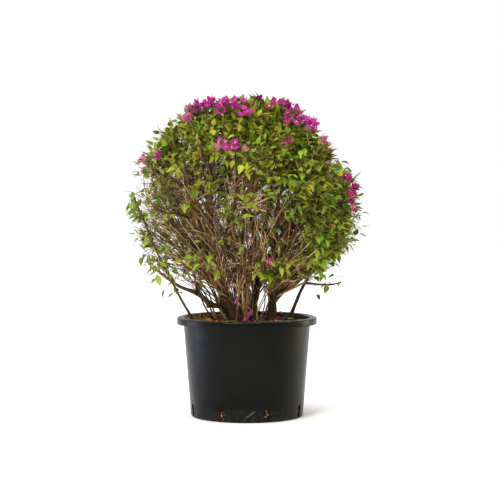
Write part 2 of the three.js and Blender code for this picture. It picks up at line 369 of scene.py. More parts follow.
@dataclass(frozen=True)
class TwigFinish:
    """Young bougainvillea wood: thin smooth skin over green wood, dry, with paler breathing pores."""

    name: str
    shade: str
    skin: str
    light: str
    mottle_mm: float = 9.0

    def build(self) -> bpy.types.Material:
        """The material, mottled along the twigs."""
        material, tree, shader = new_material(self.name)
        place = add_node(tree, "ShaderNodeTexCoord")
        mottle = add_node(tree, "ShaderNodeTexNoise", {"Vector": place.outputs["Object"]},
                          {"Scale": 1 / (self.mottle_mm * MM), "Detail": 3.0, "Roughness": 0.6})
        patches = add_node(tree, "ShaderNodeTexNoise", {"Vector": place.outputs["Object"]},
                           {"Scale": 14.0, "Detail": 1.0})
        both = add_node(tree, "ShaderNodeMath", {0: mottle.outputs["Fac"], 1: patches.outputs["Fac"]},
                        operation="ADD")
        half = add_node(tree, "ShaderNodeMath", {0: both.outputs["Value"]}, {1: 0.5}, operation="MULTIPLY")
        stops = [(0.36, self.shade), (0.5, self.skin), (0.64, self.light)]
        tree.links.new(ramp_between(tree, half.outputs["Value"], stops), shader.inputs["Base Color"])
        bump = add_node(tree, "ShaderNodeBump", {"Height": mottle.outputs["Fac"]},
                        {"Strength": 0.5, "Distance": 0.4 * MM})
        tree.links.new(bump.outputs["Normal"], shader.inputs["Normal"])
        shader.inputs["Roughness"].default_value = 0.72
        shader.inputs["Specular IOR Level"].default_value = 0.3
        return material


@dataclass(frozen=True)
class LeafFinish:
    """A living leaf: waxy skin with a soft broad gloss, a paler midrib and fine side veins."""

    name: str
    deep: str
    blade: str
    light: str
    midrib: str
    vein_count: float = 7.0
    roughness: float = 0.42

    def build(self) -> bpy.types.Material:
        """The material, which follows the leaf's own UV map and the tone of its spray."""
        material, tree, shader = new_material(self.name)
        tone = add_node(tree, "ShaderNodeAttribute", attribute_name="tone")
        blade = ramp_between(tree, tone.outputs["Fac"], [(0.0, self.deep), (0.5, self.blade), (1.0, self.light)])
        uv = add_node(tree, "ShaderNodeUVMap", uv_map="UVMap")
        split = add_node(tree, "ShaderNodeSeparateXYZ", {"Vector": uv.outputs["UV"]})
        off = add_node(tree, "ShaderNodeMath", {0: split.outputs["X"]}, {1: 0.5}, operation="SUBTRACT")
        side = add_node(tree, "ShaderNodeMath", {0: off.outputs["Value"]}, operation="ABSOLUTE")
        rib = add_node(tree, "ShaderNodeMapRange", {"Value": side.outputs["Value"]},
                       {"From Min": 0.02, "From Max": 0.09, "To Min": 0.55, "To Max": 0.0})
        mixed = add_node(tree, "ShaderNodeMix", {"Factor": rib.outputs["Result"], 6: blade},
                         {7: srgb(self.midrib)}, data_type="RGBA")
        tree.links.new(mixed.outputs[2], shader.inputs["Base Color"])
        swept = add_node(tree, "ShaderNodeMath", {0: side.outputs["Value"], 1: split.outputs["Y"]},
                         operation="SUBTRACT")
        waves = add_node(tree, "ShaderNodeMath", {0: swept.outputs["Value"]},
                         {1: self.vein_count * 2 * math.pi}, operation="MULTIPLY")
        veins = add_node(tree, "ShaderNodeMath", {0: waves.outputs["Value"]}, operation="SINE")
        bump = add_node(tree, "ShaderNodeBump", {"Height": veins.outputs["Value"]},
                        {"Strength": 0.35, "Distance": 0.4 * MM})
        tree.links.new(bump.outputs["Normal"], shader.inputs["Normal"])
        shader.inputs["Roughness"].default_value = self.roughness
        shader.inputs["Specular IOR Level"].default_value = 0.16
        return material


@dataclass(frozen=True)
class BractFinish:
    """A papery bract: thin, matt and a little sheeny, with the colour paler towards its base."""

    name: str
    base: str
    blade: str
    tip: str

    def build(self) -> bpy.types.Material:
        """The material, graded along each bract by its UV map."""
        material, tree, shader = new_material(self.name)
        uv = add_node(tree, "ShaderNodeUVMap", uv_map="UVMap")
        split = add_node(tree, "ShaderNodeSeparateXYZ", {"Vector": uv.outputs["UV"]})
        tone = add_node(tree, "ShaderNodeAttribute", attribute_name="tone")
        shift = add_node(tree, "ShaderNodeMath", {0: tone.outputs["Fac"]}, {1: 0.4}, operation="MULTIPLY")
        along = add_node(tree, "ShaderNodeMath", {0: split.outputs["Y"], 1: shift.outputs["Value"]},
                         operation="SUBTRACT")
        stops = [(0.0, self.base), (0.4, self.blade), (0.9, self.tip)]
        tree.links.new(ramp_between(tree, along.outputs["Value"], stops), shader.inputs["Base Color"])
        waves = add_node(tree, "ShaderNodeMath", {0: split.outputs["X"]}, {1: 38.0}, operation="MULTIPLY")
        veins = add_node(tree, "ShaderNodeMath", {0: waves.outputs["Value"]}, operation="SINE")
        bump = add_node(tree, "ShaderNodeBump", {"Height": veins.outputs["Value"]},
                        {"Strength": 0.3, "Distance": 0.3 * MM})
        tree.links.new(bump.outputs["Normal"], shader.inputs["Normal"])
        shader.inputs["Roughness"].default_value = 0.6
        shader.inputs["Specular IOR Level"].default_value = 0.2
        shader.inputs["Sheen Weight"].default_value = 0.15
        return material


@dataclass(frozen=True)
class FlowerFinish:
    """The small true flower: a waxy cream star on a tinted tube."""

    name: str = "flower_cream"
    petal: str = "#f2ead2"

    def build(self) -> bpy.types.Material:
        """The material."""
        material, tree, shader = new_material(self.name)
        place = add_node(tree, "ShaderNodeTexCoord")
        mottle = add_node(tree, "ShaderNodeTexNoise", {"Vector": place.outputs["Object"]}, {"Scale": 300.0})
        stops = [(0.3, "#d9c7a0"), (0.6, self.petal)]
        tree.links.new(ramp_between(tree, mottle.outputs["Fac"], stops), shader.inputs["Base Color"])
        shader.inputs["Roughness"].default_value = 0.5
        return material


@dataclass(frozen=True)
class PolyethyleneFinish:
    """Moulded black polyethylene: a satin skin, faintly wavy, dusty where it faces up, with one old scuff."""

    name: str = "black_polyethylene"
    skin: str = "#060805"
    worn: str = "#0d0f0b"
    dust: str = "#5d5a52"
    scuff: str = "#8d887c"
    scuff_at: tuple[float, float, float] = (0.012, -0.2, 0.03)
    scuff_slant: float = -0.62
    scuff_size: tuple[float, float, float] = (27 * MM, 50 * MM, 3 * MM)
    wave_mm: float = 60.0
    grain_mm: float = 2.0  # the moulded grain is finer than this, and is drawn as coarse as it shows

    def build(self) -> bpy.types.Material:
        """The material, dusty where a face looks up and splashed near the foot."""
        material, tree, shader = new_material(self.name)
        where = add_node(tree, "ShaderNodeTexCoord").outputs["Object"]
        cloud = add_node(tree, "ShaderNodeTexNoise", {"Vector": where}, {"Scale": 8.0, "Detail": 4.0})
        specks = add_node(tree, "ShaderNodeTexNoise", {"Vector": where},
                          {"Scale": 70.0, "Detail": 5.0, "Roughness": 0.7})
        patchy = self.between(tree, specks.outputs["Fac"], 0.35, 0.65, 0.0, 1.0)
        facing = add_node(tree, "ShaderNodeNewGeometry")
        normal = add_node(tree, "ShaderNodeSeparateXYZ", {"Vector": facing.outputs["Normal"]})
        place = add_node(tree, "ShaderNodeSeparateXYZ", {"Vector": where})
        lies = self.between(tree, normal.outputs["Z"], 0.3, 0.95, 0.0, 0.6)
        low = self.between(tree, place.outputs["Z"], 0.0, 0.06, 0.22, 0.0)
        colour = ramp_between(tree, cloud.outputs["Fac"], [(0.35, self.skin), (0.7, self.worn)])
        for mask in (lies, low):
            spread = add_node(tree, "ShaderNodeMath", {0: mask, 1: patchy}, operation="MULTIPLY")
            colour = self.over(tree, colour, spread.outputs["Value"], self.dust)
        colour = self.over(tree, colour, self.scuffed(tree, where), self.scuff)
        tree.links.new(colour, shader.inputs["Base Color"])
        waves = add_node(tree, "ShaderNodeTexNoise", {"Vector": where},
                         {"Scale": 1 / (self.wave_mm * MM), "Detail": 1.0})
        swell = add_node(tree, "ShaderNodeBump", {"Height": waves.outputs["Fac"]},
                         {"Strength": 0.3, "Distance": 4 * MM})
        grain = add_node(tree, "ShaderNodeTexNoise", {"Vector": where}, {"Scale": 1 / (self.grain_mm * MM)})
        fine = add_node(tree, "ShaderNodeBump",
                        {"Height": grain.outputs["Fac"], "Normal": swell.outputs["Normal"]},
                        {"Strength": 0.12, "Distance": 0.2 * MM})
        tree.links.new(fine.outputs["Normal"], shader.inputs["Normal"])
        gloss = self.between(tree, cloud.outputs["Fac"], 0.3, 0.7, 0.23, 0.33)
        tree.links.new(gloss, shader.inputs["Roughness"])
        shader.inputs["IOR"].default_value = 1.51
        shader.inputs["Specular IOR Level"].default_value = 0.085
        return material

    @staticmethod
    def between(tree: bpy.types.NodeTree, value: bpy.types.NodeSocket, low: float, high: float,
                first: float, last: float) -> bpy.types.NodeSocket:
        """The value's place between low and high, mapped to run from first to last."""
        mapped = add_node(tree, "ShaderNodeMapRange", {"Value": value},
                          {"From Min": low, "From Max": high, "To Min": first, "To Max": last})
        return mapped.outputs["Result"]

    @staticmethod
    def over(tree: bpy.types.NodeTree, colour: bpy.types.NodeSocket, mask: bpy.types.NodeSocket,
             top: str) -> bpy.types.NodeSocket:
        """A hex colour laid over another where the mask says."""
        return add_node(tree, "ShaderNodeMix", {"Factor": mask, 6: colour}, {7: srgb(top)},
                        data_type="RGBA").outputs[2]

    def scuffed(self, tree: bpy.types.NodeTree, where: bpy.types.NodeSocket) -> bpy.types.NodeSocket:
        """The mask of the scuff: a thin slanting streak, broken up along its length."""
        laid = add_node(tree, "ShaderNodeMapping", {"Vector": where},
                        {"Location": self.scuff_at, "Rotation": (0.0, self.scuff_slant, 0.0),
                         "Scale": self.scuff_size}, vector_type="TEXTURE")
        far = add_node(tree, "ShaderNodeVectorMath", {0: laid.outputs["Vector"]}, operation="LENGTH")
        streak = self.between(tree, far.outputs["Value"], 0.4, 1.0, 0.5, 0.0)
        broken = add_node(tree, "ShaderNodeTexNoise", {"Vector": where}, {"Scale": 260.0, "Detail": 3.0})
        marks = self.between(tree, broken.outputs["Fac"], 0.35, 0.6, 0.2, 1.0)
        return add_node(tree, "ShaderNodeMath", {0: streak, 1: marks}, operation="MULTIPLY").outputs["Value"]


@dataclass(frozen=True)
class ChipFinish:
    """Composted pine bark: dry, matt flakes, each with its own tone."""

    name: str
    dark: str
    mid: str
    light: str

    def build(self) -> bpy.types.Material:
        """The material, with a tone for each flake."""
        material, tree, shader = new_material(self.name)
        tone = add_node(tree, "ShaderNodeAttribute", attribute_name="tone")
        place = add_node(tree, "ShaderNodeTexCoord")
        fibres = add_node(tree, "ShaderNodeTexNoise", {"Vector": place.outputs["Object"]},
                          {"Scale": 380.0, "Detail": 3.0})
        mix = add_node(tree, "ShaderNodeMath", {0: tone.outputs["Fac"], 1: fibres.outputs["Fac"]},
                       operation="ADD")
        half = add_node(tree, "ShaderNodeMath", {0: mix.outputs["Value"]}, {1: 0.5}, operation="MULTIPLY")
        stops = [(0.2, self.dark), (0.5, self.mid), (0.8, self.light)]
        tree.links.new(ramp_between(tree, half.outputs["Value"], stops), shader.inputs["Base Color"])
        bump = add_node(tree, "ShaderNodeBump", {"Height": fibres.outputs["Fac"]},
                        {"Strength": 0.6, "Distance": 0.6 * MM})
        tree.links.new(bump.outputs["Normal"], shader.inputs["Normal"])
        shader.inputs["Roughness"].default_value = 0.92
        shader.inputs["Specular IOR Level"].default_value = 0.2
        return material


@dataclass(frozen=True)
class FloorFinish:
    """A plain pale studio floor, matt paper."""

    name: str = "studio_paper"
    colour: str = "#fbfbfc"

    def build(self) -> bpy.types.Material:
        """The material, with a painted glow that grows away from the pot, so that it runs into the white behind."""
        material, tree, shader = new_material(self.name)
        shader.inputs["Base Color"].default_value = srgb(self.colour)
        shader.inputs["Roughness"].default_value = 0.9
        shader.inputs["Specular IOR Level"].default_value = 0.1
        place = add_node(tree, "ShaderNodeTexCoord")
        far = add_node(tree, "ShaderNodeVectorMath", {0: place.outputs["Object"]}, operation="LENGTH")
        # painted light: emission that rises with distance from the pot, lightening the floor and the shadows on it
        painted_glow = add_node(tree, "ShaderNodeMapRange", {"Value": far.outputs["Value"]},
                        {"From Min": 0.22, "From Max": 0.55, "To Min": 0.0, "To Max": 0.42})
        shader.inputs["Emission Color"].default_value = srgb("#ffffff")
        tree.links.new(painted_glow.outputs["Result"], shader.inputs["Emission Strength"])
        return material


# ---------------------------------------------------------------- geometry node trees


@dataclass
class NodeShaper:
    """A geometry node tree with named inputs, used as a modifier and then turned into a plain mesh."""

    name: str
    tree: bpy.types.NodeTree = field(init=False)
    sockets: dict[str, str] = field(init=False, default_factory=dict)

    def __post_init__(self) -> None:
        """Makes the tree with its two geometry sockets, and lets the kind of shaper fill it."""
        self.tree = bpy.data.node_groups.new(self.name, "GeometryNodeTree")
        interface = self.tree.interface
        interface.new_socket("Geometry", in_out="OUTPUT", socket_type="NodeSocketGeometry")
        interface.new_socket("Geometry", in_out="INPUT", socket_type="NodeSocketGeometry")
        for name, kind in self.inputs().items():
            socket = interface.new_socket(name, in_out="INPUT", socket_type=kind)
            self.sockets[name] = socket.identifier
        self.fill()

    def inputs(self) -> dict[str, str]:
        """The tree's named inputs and their socket types."""
        raise NotImplementedError

    def fill(self) -> None:
        """Adds the nodes."""
        raise NotImplementedError

    def end(self, geometry: bpy.types.NodeSocket, source: bpy.types.Node) -> None:
        """Ends the tree: instances made real, then the material set."""
        real = add_node(self.tree, "GeometryNodeRealizeInstances", {"Geometry": geometry})
        dressed = add_node(self.tree, "GeometryNodeSetMaterial",
                           {"Geometry": real.outputs["Geometry"], "Material": source.outputs["Material"]})
        add_node(self.tree, "NodeGroupOutput", {"Geometry": dressed.outputs["Geometry"]})

    def shape(self, source: bpy.types.Object, name: str, **inputs: Any) -> bpy.types.Object:
        """Runs the tree on an object.

        Args:
            source: The object that carries the tree's points. It is removed.
            name: The name of the piece that comes out.
            inputs: The tree's inputs, by name with underscores for spaces.

        Returns:
            The plain mesh object.
        """
        modifier = source.modifiers.new(self.name, "NODES")
        modifier.node_group = self.tree
        for key, value in inputs.items():
            modifier[self.sockets[key.replace("_", " ")]] = value
        return applied(source, name)


class TubeShaper(NodeShaper):
    """Turns lines of edges into closed round tubes as thick as their "thickness" attribute says."""

    def inputs(self) -> dict[str, str]:
        """The number of sides and the material."""
        return {"Sides": "NodeSocketInt", "Material": "NodeSocketMaterial"}

    def fill(self) -> None:
        """Sweeps a circle along each line."""
        source = add_node(self.tree, "NodeGroupInput")
        lines = add_node(self.tree, "GeometryNodeMeshToCurve", {"Mesh": source.outputs["Geometry"]})
        circle = add_node(self.tree, "GeometryNodeCurvePrimitiveCircle",
                          {"Resolution": source.outputs["Sides"]}, {"Radius": 1.0})
        thickness = add_node(self.tree, "GeometryNodeInputNamedAttribute", None, {"Name": "thickness"})
        links = {"Curve": lines.outputs["Curve"], "Profile Curve": circle.outputs["Curve"],
                 "Scale": thickness.outputs["Attribute"]}
        tubes = add_node(self.tree, "GeometryNodeCurveToMesh", links, {"Fill Caps": True})
        smooth = add_node(self.tree, "GeometryNodeSetShadeSmooth", {"Geometry": tubes.outputs["Mesh"]})
        self.end(smooth.outputs["Geometry"], source)


class PlacedShaper(NodeShaper):
    """Stands a shape on each point, along its "along" attribute and facing its "facing" attribute."""

    def inputs(self) -> dict[str, str]:
        """The collection of shapes to pick from and the material."""
        return {"Shapes": "NodeSocketCollection", "Material": "NodeSocketMaterial"}

    def fill(self) -> None:
        """Picks, turns and scales a shape for each point by the point's own attributes."""
        source = add_node(self.tree, "NodeGroupInput")
        shapes = add_node(self.tree, "GeometryNodeCollectionInfo",
                          {"Collection": source.outputs["Shapes"]},
                          {"Separate Children": True, "Reset Children": True})
        read: dict[str, bpy.types.NodeSocket] = {}
        kinds = {"along": "FLOAT_VECTOR", "facing": "FLOAT_VECTOR", "size": "FLOAT", "shape": "INT"}
        for name, kind in kinds.items():
            node = add_node(self.tree, "GeometryNodeInputNamedAttribute", None, {"Name": name}, data_type=kind)
            read[name] = node.outputs["Attribute"]
        pointed = add_node(self.tree, "FunctionNodeAlignRotationToVector", {"Vector": read["along"]}, axis="Y")
        links = {"Rotation": pointed.outputs["Rotation"], "Vector": read["facing"]}
        turned = add_node(self.tree, "FunctionNodeAlignRotationToVector", links, axis="Z", pivot_axis="Y")
        links = {"Points": source.outputs["Geometry"], "Instance": shapes.outputs["Instances"],
                 "Instance Index": read["shape"], "Rotation": turned.outputs["Rotation"], "Scale": read["size"]}
        placed = add_node(self.tree, "GeometryNodeInstanceOnPoints", links, {"Pick Instance": True})
        self.end(placed.outputs["Instances"], source)


class ScatterShaper(NodeShaper):
    """Scatters shapes over the part of a surface that its "bare" attribute leaves open."""

    def inputs(self) -> dict[str, str]:
        """The shapes, how many to the square metre, their least and greatest size, the seed and the material."""
        return {"Shapes": "NodeSocketCollection", "Density": "NodeSocketFloat", "Smallest": "NodeSocketFloat",
                "Largest": "NodeSocketFloat", "Seed": "NodeSocketInt", "Material": "NodeSocketMaterial"}

    def fill(self) -> None:
        """Throws points on the faces and stands a tumbled shape on each."""
        source = add_node(self.tree, "NodeGroupInput")
        bare = add_node(self.tree, "GeometryNodeInputNamedAttribute", None, {"Name": "bare"})
        density = add_node(self.tree, "ShaderNodeMath",
                           {0: source.outputs["Density"], 1: bare.outputs["Attribute"]}, operation="MULTIPLY")
        thrown = add_node(self.tree, "GeometryNodeDistributePointsOnFaces",
                          {"Mesh": source.outputs["Geometry"], "Density": density.outputs["Value"],
                           "Seed": source.outputs["Seed"]})
        tumble = add_node(self.tree, "FunctionNodeRandomValue", {"Seed": source.outputs["Seed"]},
                          {0: (-0.5, -0.5, 0.0), 1: (0.5, 0.5, 2 * math.pi)}, data_type="FLOAT_VECTOR")
        spun = add_node(self.tree, "FunctionNodeEulerToRotation", {0: tumble.outputs[0]})
        turned = add_node(self.tree, "FunctionNodeRotateRotation",
                          {0: thrown.outputs["Rotation"], 1: spun.outputs[0]}, rotation_space="LOCAL")
        size = add_node(self.tree, "FunctionNodeRandomValue",
                        {2: source.outputs["Smallest"], 3: source.outputs["Largest"], 8: source.outputs["Seed"]},
                        data_type="FLOAT")
        shapes = add_node(self.tree, "GeometryNodeCollectionInfo",
                          {"Collection": source.outputs["Shapes"]},
                          {"Separate Children": True, "Reset Children": True})
        links = {"Points": thrown.outputs["Points"], "Instance": shapes.outputs["Instances"],
                 "Rotation": turned.outputs[0], "Scale": size.outputs[1]}
        placed = add_node(self.tree, "GeometryNodeInstanceOnPoints", links, {"Pick Instance": True})
        tone = add_node(self.tree, "FunctionNodeRandomValue", None, {8: 7}, data_type="FLOAT")
        toned = add_node(self.tree, "GeometryNodeStoreNamedAttribute",
                         {"Geometry": placed.outputs["Instances"], "Value": tone.outputs[1]},
                         {"Name": "tone"}, data_type="FLOAT", domain="INSTANCE")
        self.end(toned.outputs["Geometry"], source)


# ---------------------------------------------------------------- wood


@dataclass
class Stem:
    """A limb or shoot: a line of points from its foot to its tip, and its radius at each."""

    name: str
    points: Array
    radii: Array

    def tangents(self) -> Array:
        """The direction of growth at each point."""
        return unit(np.gradient(self.points, axis=0))

    def length(self) -> float:
        """The length along the line."""
        return float(np.linalg.norm(np.diff(self.points, axis=0), axis=1).sum())

    def resampled(self, step: float) -> Stem:
        """The stem with evenly spaced points, about a step apart, and its corners eased."""
        along = np.concatenate([[0], np.cumsum(np.linalg.norm(np.diff(self.points, axis=0), axis=1))])
        count = max(4, int(round(along[-1] / step)) + 1)
        where = np.linspace(0, along[-1], count)
        points = np.stack([np.interp(where, along, self.points[:, k]) for k in range(3)], axis=1)
        for _ in range(3):
            points[1:-1] = (points[:-2] + 2 * points[1:-1] + points[2:]) / 4
        return Stem(self.name, points, np.interp(where, along, self.radii))


@dataclass
class LimbReader:
    """Reads a limb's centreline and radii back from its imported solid."""

    frame: CadFrame
    sections: int = 11
    margin: float = 0.07  # share of the limb at each end that its cut or flare disturbs

    def read(self, name: str) -> Stem:
        """The limb as a stem that starts at its thicker end."""
        triangles = self.frame.triangles(name)
        corners = triangles.reshape(-1, 3)
        middle = corners.mean(axis=0)
        axis = np.linalg.svd(corners - middle, full_matrices=False)[2][0]
        reach = (corners - middle) @ axis
        low, high = reach.min(), reach.max()
        cuts = low + (high - low) * np.linspace(self.margin, 1 - self.margin, self.sections)
        centres, radii = zip(*(self.section(triangles, middle, axis, cut) for cut in cuts))
        points, sizes = np.array(centres), np.array(radii)
        points = np.vstack([self.past(points[0], points[1], low - cuts[0], axis), points,
                            self.past(points[-1], points[-2], high - cuts[-1], axis)])
        sizes = np.concatenate([[sizes[0]], sizes, [sizes[-1]]])
        if sizes[:4].mean() < sizes[-4:].mean():
            points, sizes = points[::-1], sizes[::-1]
        return Stem(name, points, sizes)

    @staticmethod
    def section(triangles: Array, middle: Array, axis: Array, cut: float) -> tuple[Array, float]:
        """The centre and radius of the solid's outline on one plane across its axis."""
        heights = (triangles - middle) @ axis - cut
        crossing = (heights.min(axis=1) < 0) & (heights.max(axis=1) > 0)
        ends = []
        for corners, height in zip(triangles[crossing], heights[crossing]):
            pair = [corners[a] + (corners[b] - corners[a]) * height[a] / (height[a] - height[b])
                    for a, b in ((0, 1), (1, 2), (2, 0)) if (height[a] < 0) != (height[b] < 0)]
            ends.append(pair[:2])
        edges = np.array(ends)
        lengths = np.linalg.norm(edges[:, 1] - edges[:, 0], axis=1)
        centre = (edges.mean(axis=1) * lengths[:, None]).sum(axis=0) / lengths.sum()
        return centre, float(lengths.sum() / (2 * math.pi))

    @staticmethod
    def past(end: Array, inner: Array, rise: float, axis: Array) -> Array:
        """The point past the last section, on the line through the last two."""
        way = end - inner
        return end + way * rise / (way @ axis)


@dataclass
class Generation:
    """One generation of shoots: its thickness, its reach and how it leaves the wood it grows from."""

    name: str
    foot: float
    tip: float
    shortest: float
    longest: float
    step: float
    wander: float = 0.05  # sideways drift as a share of the shoot's length
    turn_cost: float = 1.3  # how much a shoot would rather go on straight than turn off
    lean: float = 0.55  # how long it keeps its parent's direction
    stray_cost: float = 0.0  # how much it would rather start near the plant's axis
    climb_cost: float = 0.0  # how much it would rather start low
    lowest: float = 30 * MM  # how far above the mix it starts at the least


@dataclass
class Thicket:
    """All the wood, grown generation by generation from the limbs towards seeded targets."""

    crown: Crown
    ground: float
    heart: float = 0.1  # radius about the axis where the fan of shoots starts
    seed: int = 11
    stems: list[Stem] = field(default_factory=list)

    def __post_init__(self) -> None:
        """Starts the random draws."""
        self.random = np.random.default_rng(self.seed)

    def bases(self) -> tuple[Array, Array, Array]:
        """The points that a shoot can leave from, with their directions and radii."""
        points = np.concatenate([stem.points[1:] for stem in self.stems])
        tangents = np.concatenate([stem.tangents()[1:] for stem in self.stems])
        radii = np.concatenate([stem.radii[1:] for stem in self.stems])
        return points, tangents, radii

    def grow(self, targets: Array, kind: Generation) -> list[Stem]:
        """Grows one shoot to each target that the wood can reach.

        Args:
            targets: The shoots' tips.
            kind: The generation that they belong to.

        Returns:
            The new shoots, which join the wood when the generation is complete.
        """
        points, tangents, radii = self.bases()
        thick = (radii > kind.foot * 0.75) & (points[:, 2] > self.ground + kind.lowest)
        points, tangents, radii = points[thick], tangents[thick], radii[thick]
        stray = np.clip((np.hypot(points[:, 0], points[:, 1]) - self.heart) / (2 * self.heart), 0, 2)
        climb = np.clip((points[:, 2] - self.ground) / (2 * self.heart) - 0.5, 0, 2)
        grown = []
        for target in targets:
            way = target - points
            distance = np.linalg.norm(way, axis=1)
            heading = (way * tangents).sum(axis=1) / np.maximum(distance, 1e-9)
            cost = distance * (1 + kind.turn_cost * (1 - heading)) * (1 + kind.stray_cost * stray)
            cost *= 1 + kind.climb_cost * climb
            cost *= self.random.uniform(0.75, 1.35, len(way))
            cost[(distance < kind.shortest) | (distance > kind.longest)] = np.inf
            best = int(np.argmin(cost))
            if np.isfinite(cost[best]):
                foot = min(kind.foot * self.random.uniform(0.65, 1.3), 0.85 * radii[best])
                grown.append(self.shoot(points[best], tangents[best], target, foot, kind))
        self.stems += grown
        if len(targets) > 1:
            LOG.info("%s: %d of %d targets reached", kind.name, len(grown), len(targets))
        return grown

    def shoot(self, start: Array, tangent: Array, target: Array, foot: float, kind: Generation) -> Stem:
        """One shoot that leaves along its parent's direction and drifts on its way to the target."""
        way = target - start
        distance = float(np.linalg.norm(way))
        direction = way / distance
        count = max(4, int(round(distance / kind.step)) + 1)
        t = np.linspace(0, 1, count)[:, None]
        aim = kind.lean * tangent + (1 - kind.lean) * direction + self.random.normal(0, 0.16, 3)
        leave = distance * unit(aim)
        arrive = distance * unit(direction + 0.25 * self.crown.outward(target) + 0.1 * UP)
        line = (2 * t**3 - 3 * t**2 + 1) * start + (t**3 - 2 * t**2 + t) * leave
        line = line + (3 * t**2 - 2 * t**3) * target + (t**3 - t**2) * arrive
        for wave in (1, 2, 3):
            side = np.cross(direction, self.random.normal(size=3))
            line = line + np.sin(math.pi * wave * t) * side * kind.wander * distance / wave**1.3 * 0.6
        radii = foot + (kind.tip - foot) * np.linspace(0, 1, count) ** 0.8
        return Stem(kind.name, line, np.minimum(radii, foot))

    def directions(self, count: int, lowest: float, highest: float = 90.0) -> tuple[Array, Array]:
        """Bearings and elevations spread evenly over a band of the crown, in degrees, with some jitter."""
        low, high = math.sin(math.radians(lowest)), math.sin(math.radians(highest))
        k = np.arange(count)
        sines = low + (high - low) * (k + self.random.uniform(0.1, 0.9, count)) / count
        bearings = np.degrees(k * GOLDEN_ANGLE + self.random.uniform(-0.25, 0.25, count)) % 360
        return bearings, np.degrees(np.arcsin(np.clip(sines, -1, 1)))


